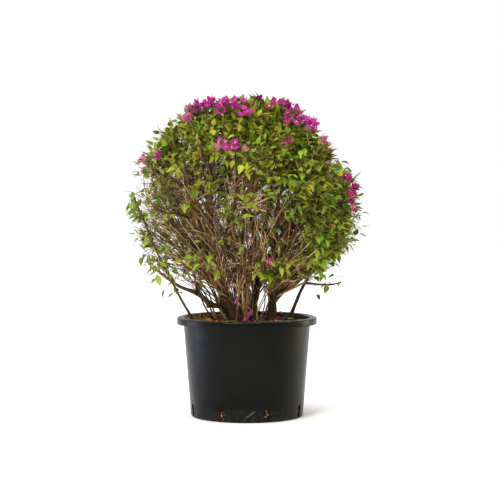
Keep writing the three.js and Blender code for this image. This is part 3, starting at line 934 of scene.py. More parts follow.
@dataclass
class BarkedLimbs:
    """The trunks and boughs as bark tubes: a piece for each limb's CAD node."""

    frame: CadFrame
    reader: LimbReader
    finish: BarkFinish
    ring_step: float = 4 * MM
    sides_per_mm: float = 1.3
    fewest_sides: int = 12
    most_sides: int = 26
    ridge_share: float = 0.11  # depth of the lengthwise ridges as a share of the radius
    lump_share: float = 0.13
    bend: float = 5 * MM  # how far a limb strays from its smooth line
    bend_wave: float = 85 * MM
    root: float = 12 * MM  # how far a trunk goes down into the mix
    trunk_radius: float = 10 * MM  # a rooted limb thicker than this is a trunk that forks at its tip
    graft: float = 22 * MM  # how near a limb's foot has to be to the limb that it grows from
    collar: tuple[float, float] = (0.4, 16 * MM)  # swelling of a bough's foot and how far up it reaches
    fork: tuple[float, float] = (0.4, 36 * MM)  # how much of a trunk's tip its forks take, and from how far down

    def read_all(self) -> list[Stem]:
        """All limbs as stems, with feet drawn on into the limb or the mix that they grow from."""
        stems = [self.reader.read(name) for name in self.frame.named("bark")]
        ground = float(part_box("soil")[1].z)
        joined = []
        for stem in stems:
            foot = stem.points[0]
            rooted = foot[2] < ground + 4 * MM
            if rooted:
                start = foot - self.root * unit(stem.points[1] - foot) * np.array([0.3, 0.3, 1.0])
            else:
                start = self.parent_point(stem, stems)
            points = np.vstack([start, stem.points])
            whole = Stem(stem.name, points, np.concatenate([[stem.radii[0]], stem.radii]))
            joined.append(self.shaped(whole.resampled(self.ring_step), rooted))
        return [self.strayed(stem) for stem in joined]

    def shaped(self, stem: Stem, rooted: bool) -> Stem:
        """The stem with a collar where it leaves its parent, or with a tip that its forks have taken from."""
        along = np.linspace(0, stem.length(), len(stem.points))
        radii = stem.radii.copy()
        if rooted and radii.max() > self.trunk_radius:
            share, reach = self.fork
            left = np.clip((along[-1] - along) / reach, 0, 1)
            radii *= 1 - share * (1 - left) ** 2
        elif not rooted:
            share, reach = self.collar
            radii *= 1 + share * np.exp(-along / reach)
        return Stem(stem.name, stem.points, radii)

    def parent_point(self, stem: Stem, stems: Sequence[Stem]) -> Array:
        """The nearest point inside a thicker limb, or the foot itself if none is near."""
        foot = stem.points[0]
        best, found = self.graft, foot
        for other in stems:
            if other is stem or other.radii.max() <= stem.radii.max():
                continue
            fine = other.resampled(self.ring_step)
            gaps = np.linalg.norm(fine.points - foot, axis=1) - fine.radii
            k = int(np.argmin(gaps))
            if gaps[k] < best:
                best, found = gaps[k], fine.points[k]
        return found

    def strayed(self, stem: Stem) -> Stem:
        """The stem with the gentle crooks of real wood, none at its ends."""
        drift = [noise.noise_vector(Vector(p) / self.bend_wave) for p in stem.points]
        fade = np.sin(np.linspace(0, math.pi, len(drift))) ** 0.7
        points = stem.points + np.array(drift) * (fade * self.bend)[:, None]
        return Stem(stem.name, points, stem.radii)

    def build(self, stem: Stem, material: bpy.types.Material) -> bpy.types.Object:
        """One limb's bark tube, with ridges, lumps and a rounded tip, and a UV map in metres."""
        radius = float(stem.radii.max())
        sides = int(np.clip(radius / MM * self.sides_per_mm, self.fewest_sides, self.most_sides))
        points, radii, tangents = stem.points, stem.radii.copy(), stem.tangents()
        cap = 4
        end = np.linspace(0, math.pi / 2, cap + 1)[1:-1]
        tip = points[-1] + tangents[-1] * radii[-1] * np.sin(end)[:, None] * 0.8
        points = np.vstack([points, tip])
        radii = np.concatenate([radii, radii[-1] * np.cos(end)])
        tangents = np.vstack([tangents, np.repeat(tangents[-1:], cap - 1, axis=0)])
        side = unit(np.cross(tangents[0], [0.2, -1.0, 0.1]))
        angles = np.linspace(0, 2 * math.pi, sides, endpoint=False)
        vertices = []
        along = 0.0
        for k, (point, tangent, size) in enumerate(zip(points, tangents, radii)):
            side = unit(side - tangent * (side @ tangent))
            front = np.cross(tangent, side)
            along += float(np.linalg.norm(point - points[max(k - 1, 0)]))
            for angle in angles:
                way = math.cos(angle) * side + math.sin(angle) * front
                ridge = noise.noise(Vector((math.cos(angle) * 2.4, math.sin(angle) * 2.4, along * 28)))
                lump = noise.noise(Vector(point + way * size) * 34)
                swell = 1 + self.ridge_share * (1 - 2.4 * abs(ridge)) * 0.7 + self.lump_share * lump
                vertices.append(point + way * size * swell)
        count = len(points)
        vertices += [points[0], points[-1] + tangents[-1] * radii[-1] * 0.4]
        faces: list[list[int]] = []
        for k in range(count - 1):
            for j in range(sides):
                a, b = k * sides + j, k * sides + (j + 1) % sides
                faces.append([a, b, b + sides, a + sides])
        first, last = count * sides, count * sides + 1
        faces += [[first, (j + 1) % sides, j] for j in range(sides)]
        top = (count - 1) * sides
        faces += [[last, top + j, top + (j + 1) % sides] for j in range(sides)]
        piece = mesh_object(f"bark_of_{stem.name}", np.array(vertices), faces)
        self.lay_uv(piece.data, count, sides, radius)
        piece.data.materials.append(material)
        piece.data.polygons.foreach_set("use_smooth", [True] * len(piece.data.polygons))
        return keep_piece(piece, [stem.name])

    def lay_uv(self, mesh: bpy.types.Mesh, count: int, sides: int, radius: float) -> None:
        """A UV map in metres: round the limb by its girth, and along it by its length."""
        layer = mesh.uv_layers.new(name="UVMap")
        girth = 2 * math.pi * radius / sides
        for polygon in mesh.polygons:
            ring = [i % sides for i in polygon.vertices if i < count * sides]
            wraps = max(ring) - min(ring) > sides / 2
            for loop in polygon.loop_indices:
                vertex = mesh.loops[loop].vertex_index
                around = vertex % sides if vertex < count * sides else min(ring)
                if wraps and around < sides / 2:
                    around += sides
                layer.data[loop].uv = (around * girth, min(vertex // sides, count) * self.ring_step)


@dataclass
class Twigs:
    """Every shoot of the thicket as closed tubes, joined by the colour of its wood."""

    shaper: TubeShaper
    finishes: Sequence[TwigFinish]
    shares: Sequence[float]
    seed: int = 5

    def build(self, groups: Sequence[tuple[Sequence[Stem], int]]) -> list[bpy.types.Object]:
        """The twig pieces.

        Args:
            groups: Lists of shoots with the number of sides that their tubes get.

        Returns:
            A piece for each wood colour and number of sides.
        """
        random = np.random.default_rng(self.seed)
        pieces = []
        for stems, sides in groups:
            dealt = random.choice(len(self.finishes), size=len(stems), p=self.shares)
            for k, finish in enumerate(self.finishes):
                chosen = [stem for stem, deal in zip(stems, dealt) if deal == k]
                if chosen:
                    pieces.append(self.tubes(f"{finish.name}_of_{sides}_sides", chosen, sides, finish))
        return pieces

    def tubes(self, name: str, stems: Sequence[Stem], sides: int, finish: TwigFinish) -> bpy.types.Object:
        """One piece of twigs."""
        points = np.concatenate([stem.points for stem in stems])
        edges: list[tuple[int, int]] = []
        start = 0
        for stem in stems:
            edges += [(start + k, start + k + 1) for k in range(len(stem.points) - 1)]
            start += len(stem.points)
        mesh = bpy.data.meshes.new(name)
        mesh.from_pydata(points.tolist(), edges, [])
        thickness = mesh.attributes.new("thickness", "FLOAT", "POINT")
        thickness.data.foreach_set("value", np.concatenate([s.radii for s in stems]).astype(np.float32))
        source = bpy.data.objects.new(name + "_lines", mesh)
        bpy.context.scene.collection.objects.link(source)
        material = bpy.data.materials.get(finish.name) or finish.build()
        piece = self.shaper.shape(source, name, Sides=sides, Material=material)
        return keep_piece(piece)


# ---------------------------------------------------------------- leaves and bracts


@dataclass
class Blade:
    """A leaf or bract as a few faces in its own outline, along +Y from its stalk, with its face up."""

    length: float
    width: float
    stalk: float = 0.0
    fold: float = 0.25  # how far the halves rise from the midrib, as a share of the half width
    droop: float = 0.2  # how far the tip hangs, as a share of the length
    cup: float = 0.0  # how far the middle sags between base and tip
    stations: Sequence[float] = (0.0, 0.12, 0.33, 0.58, 0.82, 1.0)
    shoulder: float = 0.5  # the outline is t**shoulder * (1 - t)**taper: a broad base and a drawn-out tip
    taper: float = 1.0

    def half_width(self, t: float) -> float:
        """Half the blade's width at a share of its length."""
        peak = self.shoulder / (self.shoulder + self.taper)
        most = peak**self.shoulder * (1 - peak) ** self.taper
        return self.width / 2 * t**self.shoulder * (1 - t) ** self.taper / most

    def mesh(self) -> tuple[Array, list[list[int]], Array]:
        """The blade's vertices, faces and the UV of each vertex."""
        vertices: list[tuple[float, float, float]] = []
        uvs: list[tuple[float, float]] = []
        rows: list[list[int]] = []
        for t in self.stations:
            half = self.half_width(t) if 0 < t < 1 else 0.0
            y = self.stalk + self.length * t * (1 - 0.08 * self.droop)
            z = -self.droop * self.length * t**2 - self.cup * self.length * math.sin(math.pi * t)
            row = []
            sides = (-1, 0, 1) if half > 0 else (0,)
            for s in sides:
                row.append(len(vertices))
                vertices.append((s * half, y - 0.06 * self.length * abs(s) * t, z + abs(s) * half * self.fold))
                uvs.append((0.5 + 0.5 * s * half / (self.width / 2), t))
            rows.append(row)
        faces: list[list[int]] = []
        for low, high in zip(rows, rows[1:]):
            if len(low) == 1:
                faces += [[low[0], high[1], high[0]], [low[0], high[2], high[1]]]
            elif len(high) == 1:
                faces += [[low[0], low[1], high[0]], [low[1], low[2], high[0]]]
            else:
                faces += [[low[0], low[1], high[1], high[0]], [low[1], low[2], high[2], high[1]]]
        if self.stalk > 0:
            start = len(vertices)
            thin = 0.7 * MM
            vertices += [(-thin, 0.0, 0.0), (thin, 0.0, 0.0), (thin / 2, self.stalk, 0.0), (-thin / 2, self.stalk, 0.0)]
            uvs += [(0.5, 0.0)] * 4
            faces.append([start, start + 1, start + 2, start + 3])
        return np.array(vertices), faces, np.array(uvs)


def blade_object(name: str, parts: Sequence[tuple[Array, list[list[int]], Array]]) -> bpy.types.Object:
    """A shape for placing, made of one or more (vertices, faces, UVs) parts."""
    vertices, faces, uvs = [], [], []
    start = 0
    for points, polygons, coordinates in parts:
        vertices.append(points)
        uvs.append(coordinates)
        faces += [[i + start for i in polygon] for polygon in polygons]
        start += len(points)
    made = mesh_object(name, np.concatenate(vertices), faces)
    layer = made.data.uv_layers.new(name="UVMap")
    all_uvs = np.concatenate(uvs)
    for loop in made.data.loops:
        layer.data[loop.index].uv = all_uvs[loop.vertex_index]
    made.data.polygons.foreach_set("use_smooth", [True] * len(made.data.polygons))
    return made


def shape_collection(name: str, shapes: Sequence[bpy.types.Object]) -> bpy.types.Collection:
    """A collection of shapes to pick from, outside the scene."""
    collection = bpy.data.collections.new(name)
    for shape in shapes:
        collection.objects.link(shape)
        bpy.context.scene.collection.objects.unlink(shape)
    return collection


def clear_collection(collection: bpy.types.Collection) -> None:
    """Removes a collection of shapes and what is in it."""
    for shape in list(collection.objects):
        bpy.data.objects.remove(shape)
    bpy.data.collections.remove(collection)


@dataclass
class Placings:
    """Where each copy of a shape stands, which way it points and faces, its size, shape and tone."""

    points: list[Array] = field(default_factory=list)
    along: list[Array] = field(default_factory=list)
    facing: list[Array] = field(default_factory=list)
    size: list[float] = field(default_factory=list)
    shape: list[int] = field(default_factory=list)
    tone: list[float] = field(default_factory=list)

    def put(self, point: Array, along: Array, facing: Array, size: float, shape: int, tone: float) -> None:
        """Adds one copy."""
        self.points.append(point)
        self.along.append(along)
        self.facing.append(facing)
        self.size.append(size)
        self.shape.append(shape)
        self.tone.append(tone)

    def cloud(self, name: str) -> bpy.types.Object:
        """The copies as a mesh of points with attributes."""
        made = mesh_object(name, np.array(self.points), [])
        for key, values in (("along", self.along), ("facing", self.facing)):
            attribute = made.data.attributes.new(key, "FLOAT_VECTOR", "POINT")
            attribute.data.foreach_set("vector", np.array(values, np.float32).ravel())
        for key, values in (("size", self.size), ("tone", self.tone)):
            attribute = made.data.attributes.new(key, "FLOAT", "POINT")
            attribute.data.foreach_set("value", np.array(values, np.float32))
        attribute = made.data.attributes.new("shape", "INT", "POINT")
        attribute.data.foreach_set("value", np.array(self.shape, np.int32))
        return made


class Tint(Enum):
    """The colours of leaf, dealt out by spray."""

    LIME = "leaves_lime"
    GOLDEN = "leaves_golden_green"
    MID = "leaves_mid_green"
    FRESH = "leaves_fresh_green"
    DEEP = "leaves_deep_green"
    BRONZE = "leaves_bronze"


LEAF_FINISHES = {
    Tint.LIME: LeafFinish("leaf_lime", "#848e1a", "#999f22", "#b2b632", "#bcbe62"),
    Tint.GOLDEN: LeafFinish("leaf_golden_green", "#797a14", "#8c8d1b", "#a3a32c", "#b0ac5a"),
    Tint.MID: LeafFinish("leaf_mid_green", "#616d13", "#758119", "#8b9823", "#a2aa54"),
    Tint.FRESH: LeafFinish("leaf_fresh_green", "#607f1a", "#749322", "#8ba930", "#a4b964"),
    Tint.DEEP: LeafFinish("leaf_deep_green", "#404d0f", "#515e13", "#66741d", "#828c44"),
    Tint.BRONZE: LeafFinish("leaf_bronze", "#754c1c", "#8b6228", "#9e7c3c", "#b2955c"),
}


@dataclass
class Foliage:
    """The leaves: sprays on the leafy shoots, in tints that depend on where a spray stands."""

    crown: Crown
    shaper: PlacedShaper
    leaf_length: float = 35 * MM
    leaf_width: float = 20 * MM
    seed: int = 23
    placings: dict[Tint, Placings] = field(default_factory=dict)

    def __post_init__(self) -> None:
        """Starts the random draws."""
        self.random = np.random.default_rng(self.seed)
        self.placings = {tint: Placings() for tint in Tint}

    def shapes(self) -> bpy.types.Collection:
        """Four leaves: flat, folded, drooping and curled."""
        kinds = [(0.12, 0.12, 0.0), (0.42, 0.2, 0.0), (0.25, 0.42, -0.03), (0.3, 0.1, 0.07)]
        blades = [Blade(self.leaf_length, self.leaf_width, 6 * MM, fold, droop, cup) for fold, droop, cup in kinds]
        return shape_collection("leaf_shapes", [blade_object(f"leaf_shape_{k}", [blade.mesh()])
                                                for k, blade in enumerate(blades)])

    def tint_for(self, point: Array) -> Tint:
        """The tint of a spray: yellower on top, which paints light on the crown's top, fresher on the right and low
        down, and darker deep inside, which paints shade into the crown.
        """
        q = (point - self.crown.centre) / self.crown.half
        inside = 1 - float(self.crown.share(point))
        weights = {
            # painted light and shade: the lime and golden tints grow likelier towards the top, and the deep tint
            # likelier deep inside the crown
            Tint.LIME: 0.07 + 0.65 * max(q[2] - 0.1, 0),
            Tint.GOLDEN: 0.16 + 1.0 * max(q[2] - 0.15, 0),
            Tint.MID: 2.0,
            Tint.FRESH: 0.6 + 0.9 * max(q[0], 0) + 1.2 * max(-q[2], 0),
            Tint.DEEP: 0.7 + 4.0 * max(inside - 0.12, 0),
            Tint.BRONZE: 0.05 + 0.2 * max(q[2], 0),
        }
        total = sum(weights.values())
        return self.random.choice(list(weights), p=[w / total for w in weights.values()])

    def spray(self, stem: Stem, count: int, tints: Sequence[Tint] = (), spread: float = 0.7) -> None:
        """Stands leaves in turn round the last part of a shoot, and one at its tip."""
        length = stem.length()
        tint = tints[int(self.random.integers(len(tints)))] if tints else self.tint_for(stem.points[-1])
        placings = self.placings[tint]
        base_tone = self.random.uniform(0.15, 0.85)
        first = max(0.0, 1 - spread * 0.09 / length) if length > 0.09 * spread else 0.15
        places = np.linspace(first, 1.0, count)
        tangents = stem.tangents()
        angle = self.random.uniform(0, 2 * math.pi)
        for k, place in enumerate(places):
            index = place * (len(stem.points) - 1)
            i = min(int(index), len(stem.points) - 2)
            point = stem.points[i] + (stem.points[i + 1] - stem.points[i]) * (index - i)
            tangent = tangents[i]
            side = unit(np.cross(tangent, UP + 0.01))
            front = np.cross(side, tangent)
            angle += GOLDEN_ANGLE + self.random.uniform(-0.3, 0.3)
            round_it = math.cos(angle) * side + math.sin(angle) * front
            last = k == count - 1
            outward = self.crown.outward(point)
            along = (1.0 if last else 0.4) * tangent + (0.35 if last else 0.95) * round_it
            along = unit(along + 0.35 * outward - 0.16 * UP + self.random.normal(0, 0.2, 3))
            facing = unit(1.5 * UP + 0.3 * outward + self.random.normal(0, 0.4, 3))
            size = self.random.uniform(0.65, 1.2) * (0.85 if last else 1.0)
            tone = float(np.clip(base_tone + self.random.normal(0, 0.16), 0, 1))
            placings.put(point, along, facing, size, int(self.random.integers(4)), tone)

    def build(self, masses: Sequence[str]) -> list[bpy.types.Object]:
        """The leaf pieces, one for each tint, which stand for the masses between them."""
        shapes = self.shapes()
        pieces = []
        for k, (tint, placings) in enumerate(self.placings.items()):
            cloud = placings.cloud(tint.value + "_points")
            piece = self.shaper.shape(cloud, tint.value, Shapes=shapes, Material=LEAF_FINISHES[tint].build())
            pieces.append(keep_piece(piece, list(masses)[k :: len(self.placings)]))
        clear_collection(shapes)
        return pieces


class Bloom(Enum):
    """The colours of bract."""

    BRIGHT = "bracts_magenta"
    DEEP = "bracts_deep_magenta"
    PALE = "bracts_faded"


BRACT_FINISHES = {
    Bloom.BRIGHT: BractFinish("bract_magenta", "#cc58a6", "#c628a0", "#b01a90"),
    Bloom.DEEP: BractFinish("bract_deep_magenta", "#b03a72", "#a81c74", "#8a145c"),
    Bloom.PALE: BractFinish("bract_faded", "#b28a72", "#c4648e", "#b84880"),
}


@dataclass(frozen=True)
class Cluster:
    """A cluster of blossom: its place on the crown's front, how many shoots bloom and their colour."""

    across: float
    up: float
    shoots: int
    bloom: Bloom


@dataclass
class Blossom:
    """The bracts in threes, each with its small cream flower, on shoots at the crown's skin."""

    crown: Crown
    shaper: PlacedShaper
    bract_length: float = 25 * MM
    bract_width: float = 18 * MM
    seed: int = 41
    front: Sequence[Cluster] = (
        Cluster(-0.40, 0.90, 4, Bloom.BRIGHT),
        Cluster(-0.33, 0.93, 4, Bloom.BRIGHT),
        Cluster(-0.25, 0.91, 4, Bloom.BRIGHT),
        Cluster(-0.16, 0.92, 5, Bloom.BRIGHT),
        Cluster(-0.22, 0.85, 3, Bloom.BRIGHT),
        Cluster(-0.08, 0.90, 4, Bloom.BRIGHT),
        Cluster(0.00, 0.96, 2, Bloom.BRIGHT),
        Cluster(0.01, 0.85, 4, Bloom.BRIGHT),
        Cluster(-0.44, 0.84, 2, Bloom.PALE),
        Cluster(-0.50, 0.76, 3, Bloom.PALE),
        Cluster(0.13, 0.92, 1, Bloom.DEEP),
        Cluster(0.27, 0.92, 2, Bloom.DEEP),
        Cluster(0.32, 0.91, 5, Bloom.BRIGHT),
        Cluster(0.43, 0.87, 3, Bloom.BRIGHT),
        Cluster(0.38, 0.77, 2, Bloom.DEEP),
        Cluster(0.44, 0.78, 4, Bloom.BRIGHT),
        Cluster(0.54, 0.74, 6, Bloom.BRIGHT),
        Cluster(0.65, 0.64, 1, Bloom.PALE),
        Cluster(0.34, 0.62, 1, Bloom.DEEP),
        Cluster(-0.20, 0.57, 2, Bloom.PALE),
        Cluster(-0.08, 0.54, 3, Bloom.BRIGHT),
        Cluster(0.02, 0.50, 1, Bloom.PALE),
        Cluster(-0.88, 0.42, 3, Bloom.PALE),
        Cluster(-0.76, 0.46, 1, Bloom.DEEP),
        Cluster(0.88, 0.28, 4, Bloom.DEEP),
        Cluster(0.92, 0.20, 2, Bloom.DEEP),
        Cluster(0.89, 0.12, 2, Bloom.DEEP),
        Cluster(0.90, 0.04, 1, Bloom.DEEP),
        Cluster(0.22, -0.45, 1, Bloom.DEEP),
    )
    hidden_clusters: int = 26
    spread: float = 8 * MM
    share: float = 0.945  # how far out the flowering shoots end

    def __post_init__(self) -> None:
        """Starts the random draws."""
        self.random = np.random.default_rng(self.seed)
        self.placings = {bloom: Placings() for bloom in Bloom}

    def bract_shapes(self) -> bpy.types.Collection:
        """Two cups of three bracts, one half open and one wide open."""
        shapes = []
        for k, (lift, fold) in enumerate(((58.0, 0.35), (34.0, 0.25))):
            blade = Blade(self.bract_length, self.bract_width, 0.0, fold, -0.12, 0.08,
                          (0.0, 0.16, 0.42, 0.72, 1.0), 0.55, 0.75)
            shapes.append(blade_object(f"bract_shape_{k}", [self.petal(blade, lift, turn) for turn in range(3)]))
        return shape_collection("bract_shapes", shapes)

    @staticmethod
    def petal(blade: Blade, lift: float, turn: int) -> tuple[Array, list[list[int]], Array]:
        """One bract of a cup, raised from the level and turned to its place round the flower's axis, +Y."""
        vertices, faces, uvs = blade.mesh()
        a, b = math.radians(lift), turn * 2 * math.pi / 3
        raised = np.stack([vertices[:, 0], vertices[:, 1] * math.cos(a) - vertices[:, 2] * math.sin(a),
                           vertices[:, 1] * math.sin(a) + vertices[:, 2] * math.cos(a)], axis=1)
        x, out, rise = raised.T
        turned = np.stack([x * math.cos(b) - out * math.sin(b), rise, x * math.sin(b) + out * math.cos(b)], axis=1)
        return turned, faces, uvs

    def flower_shapes(self) -> bpy.types.Collection:
        """The true flower: a tube that widens to a five-pointed star."""
        rings = ((0.0, 1.0 * MM), (0.5, 0.8 * MM), (0.72, 1.2 * MM))
        height = 0.62 * self.bract_length
        vertices = [(r * math.cos(a), t * height, r * math.sin(a))
                    for t, r in rings for a in np.linspace(0, 2 * math.pi, 5, endpoint=False)]
        faces = [[k * 5 + j, (k + 1) * 5 + j, (k + 1) * 5 + (j + 1) % 5, k * 5 + (j + 1) % 5]
                 for k in range(2) for j in range(5)]
        star = [(r * math.cos(a), 0.74 * height, r * math.sin(a))
                for r, a in zip([3.4 * MM, 1.6 * MM] * 5, np.linspace(0, 2 * math.pi, 10, endpoint=False))]
        start = len(vertices)
        vertices += star + [(0.0, 0.7 * height, 0.0)]
        faces += [[start + (j + 1) % 10, start + j, start + 10] for j in range(10)]
        uvs = np.full((len(vertices), 2), 0.5)
        return shape_collection("flower_shapes", [blade_object("flower_shape_0", [(np.array(vertices), faces, uvs)])])

    def places(self) -> list[tuple[Array, Bloom]]:
        """Where each flowering shoot ends: the front's clusters, then seeded ones on the sides and back."""
        middle = self.crown.centre
        chosen = [(middle + self.share * (self.crown.on_front(c.across, c.up) - middle), c.shoots, c.bloom)
                  for c in self.front]
        for _ in range(self.hidden_clusters):
            bearing = self.random.uniform(85, 275)
            elevation = math.degrees(math.asin(self.random.uniform(0.05, 1) ** 0.45))
            bloom = self.random.choice(list(Bloom), p=[0.55, 0.25, 0.2])
            place = self.crown.at(bearing, elevation, self.share - 0.04)
            chosen.append((place, int(self.random.integers(1, 5)), bloom))
        return [(place + self.random.normal(0, self.spread, 3), bloom)
                for place, shoots, bloom in chosen for _ in range(shoots)]

    def open_on(self, stem: Stem, bloom: Bloom) -> None:
        """Opens one or two flowers at the tip of a shoot."""
        tangent, tip = stem.tangents()[-1], stem.points[-1]
        outward = self.crown.outward(tip)
        for _ in range(int(self.random.integers(1, 4))):
            axis = unit(0.5 * tangent + 0.8 * outward + 0.25 * UP + self.random.normal(0, 0.45, 3))
            point = tip + self.random.normal(0, 5 * MM, 3)
            facing = unit(np.cross(axis, self.random.normal(size=3)))
            shape, tone = int(self.random.integers(2)), float(self.random.uniform())
            self.placings[bloom].put(point, axis, facing, self.random.uniform(0.75, 1.2), shape, tone)

    def build(self) -> list[bpy.types.Object]:
        """The bract pieces and the flower piece."""
        shapes, flowers = self.bract_shapes(), self.flower_shapes()
        pieces = []
        every = Placings()
        for bloom, placings in self.placings.items():
            for key in ("points", "along", "facing", "size", "tone"):
                getattr(every, key).extend(getattr(placings, key))
            cloud = placings.cloud(bloom.value + "_points")
            piece = self.shaper.shape(cloud, bloom.value, Shapes=shapes, Material=BRACT_FINISHES[bloom].build())
            pieces.append(keep_piece(piece))
        every.shape = [0] * len(every.points)
        cloud = every.cloud("flower_points")
        piece = self.shaper.shape(cloud, "flowers_cream", Shapes=flowers, Material=FlowerFinish().build())
        pieces.append(keep_piece(piece))
        clear_collection(shapes)
        clear_collection(flowers)
        return pieces


# ---------------------------------------------------------------- pot and mix


def arc(centre: tuple[float, float], radius: float, start: float, end: float, steps: int) -> list[tuple[float, float]]:
    """Points of an arc in a profile, by its centre, radius and start and end angles in degrees."""
    angles = np.radians(np.linspace(start, end, steps + 1))
    return [(centre[0] + radius * math.cos(a), centre[1] + radius * math.sin(a)) for a in angles]


def lathe(profile: Sequence[tuple[float, float]], segments: int) -> tuple[Array, list[list[int]]]:
    """A profile of (radius, height) pairs turned round the z axis, closed where it meets the axis."""
    vertices: list[tuple[float, float, float]] = []
    rows: list[list[int]] = []
    for radius, height in profile:
        if radius < 1e-9:
            rows.append([len(vertices)] * segments)
            vertices.append((0.0, 0.0, height))
            continue
        rows.append(list(range(len(vertices), len(vertices) + segments)))
        angles = np.linspace(0, 2 * math.pi, segments, endpoint=False)
        vertices += [(radius * math.cos(a), radius * math.sin(a), height) for a in angles]
    faces = []
    for low, high in zip(rows, rows[1:]):
        for j in range(segments):
            n = (j + 1) % segments
            face = [low[j], low[n], high[n], high[j]]
            faces.append(list(dict.fromkeys(face)))
    return np.array(vertices), faces


@dataclass
class NurseryPot:
    """The moulded pot: a tapered wall, a rolled flange with a hanging skirt, and slots round the foot."""

    finish: PolyethyleneFinish
    wall: float = 4 * MM
    edge: float = 5 * MM  # rounding of the rim and of the foot
    wall_top_share: float = 0.912  # radius under the rim as a share of the rim's
    wall_foot_share: float = 0.804
    skirt_drop: float = 25 * MM
    crown_of_rim: float = 2 * MM  # how far the flange is domed
    segments: int = 192
    slots: int = 8
    slot_bearing: float = 20.0
    slot_width: float = 20 * MM
    slot_low: float = 6 * MM
    slot_high: float = 50 * MM

    def profile(self, rim: float, height: float) -> list[tuple[float, float]]:
        """The sheet's inner face: up from the floor, out over the flange and down the skirt's outside."""
        foot, top = (share * rim - self.wall for share in (self.wall_foot_share, self.wall_top_share))
        line = [(0.0, self.wall), (0.6 * foot, self.wall), (foot - 2 * self.edge, self.wall)]
        line += arc((foot - self.edge, self.wall + self.edge), self.edge, -90, 0, 4)
        shoulder = height - self.crown_of_rim
        low, high = self.wall + self.edge, shoulder - self.edge
        line += [(foot + (top - foot) * k / 9, low + (high - low) * k / 9) for k in range(1, 9)]
        line += arc((top + self.edge, high), self.edge, 180, 90, 4)
        middle, span = (top + rim) / 2, (rim - top) / 2 - self.edge
        for k in range(1, 6):
            x = -1 + k / 3
            line.append((middle + span * x, shoulder + self.crown_of_rim * (1 - x * x)))
        line += arc((rim - self.edge, high), self.edge, 90, 0, 5)
        drop = height - self.skirt_drop
        line += [(rim, high + (drop - high) * k / 3) for k in range(1, 4)]
        return line

    def cutters(self, rim: float) -> bpy.types.Object:
        """The slots' cutters: upright boxes with rounded tops, in one mesh."""
        half = self.slot_width / 2
        outline = [(-half, self.slot_low), (half, self.slot_low)]
        outline += arc((half * 0.4, self.slot_high - half * 0.6), half * 0.6, 0, 90, 4)
        outline += arc((-half * 0.4, self.slot_high - half * 0.6), half * 0.6, 90, 180, 4)
        vertices, faces = [], []
        inner, outer = (self.wall_foot_share * rim + d for d in (-15 * MM, 15 * MM))
        for k in range(self.slots):
            b = math.radians(self.slot_bearing + 360 / self.slots * k)
            out, side = np.array([math.sin(b), -math.cos(b), 0]), np.array([math.cos(b), math.sin(b), 0])
            start, count = len(vertices), len(outline)
            for reach in (inner, outer):
                vertices += [out * reach + side * x + UP * z for x, z in outline]
            faces.append([start + j for j in range(count)])
            faces.append([start + count + j for j in reversed(range(count))])
            for j in range(count):
                n = (j + 1) % count
                faces.append([start + n, start + j, start + count + j, start + count + n])
        made = mesh_object("slot_cutters", np.array(vertices), faces)
        self.face_out(made)
        return made

    @staticmethod
    def face_out(piece: bpy.types.Object) -> None:
        """Turns every face of a closed mesh outwards."""
        shape = bmesh.new()
        shape.from_mesh(piece.data)
        bmesh.ops.recalc_face_normals(shape, faces=shape.faces)
        shape.to_mesh(piece.data)
        shape.free()

    def build(self) -> bpy.types.Object:
        """The pot's shell, which stands for the CAD pot."""
        low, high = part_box("pot")
        rim, height = (high.x - low.x) / 2, high.z
        vertices, faces = lathe(self.profile(rim, height), self.segments)
        sag = np.array([noise.noise(Vector((v[0] * 6, v[1] * 6, 3.0))) for v in vertices])
        near_rim = np.clip((vertices[:, 2] - 0.6 * height) / (0.4 * height), 0, 1)
        vertices[:, :2] *= (1 + 0.003 * (sag - 0.2) * near_rim)[:, None]
        shell = mesh_object("pot_skin", vertices, faces)
        solid = shell.modifiers.new("wall", "SOLIDIFY")
        solid.thickness, solid.offset, solid.use_even_offset = self.wall, 1.0, True
        thick = applied(shell, "pot_wall")
        cutters = self.cutters(rim)
        cut = thick.modifiers.new("slots", "BOOLEAN")
        cut.operation, cut.solver, cut.object = "DIFFERENCE", "EXACT", cutters
        soft = thick.modifiers.new("edges", "BEVEL")
        soft.width, soft.segments, soft.limit_method, soft.angle_limit = 0.7 * MM, 2, "ANGLE", math.radians(55)
        piece = applied(thick, "pot_shell")
        bpy.data.objects.remove(cutters)
        piece.data.polygons.foreach_set("use_smooth", [True] * len(piece.data.polygons))
        piece.data.set_sharp_from_angle(angle=math.radians(50))
        piece.data.materials.clear()
        piece.data.materials.append(self.finish.build())
        return keep_piece(piece, ["pot"])


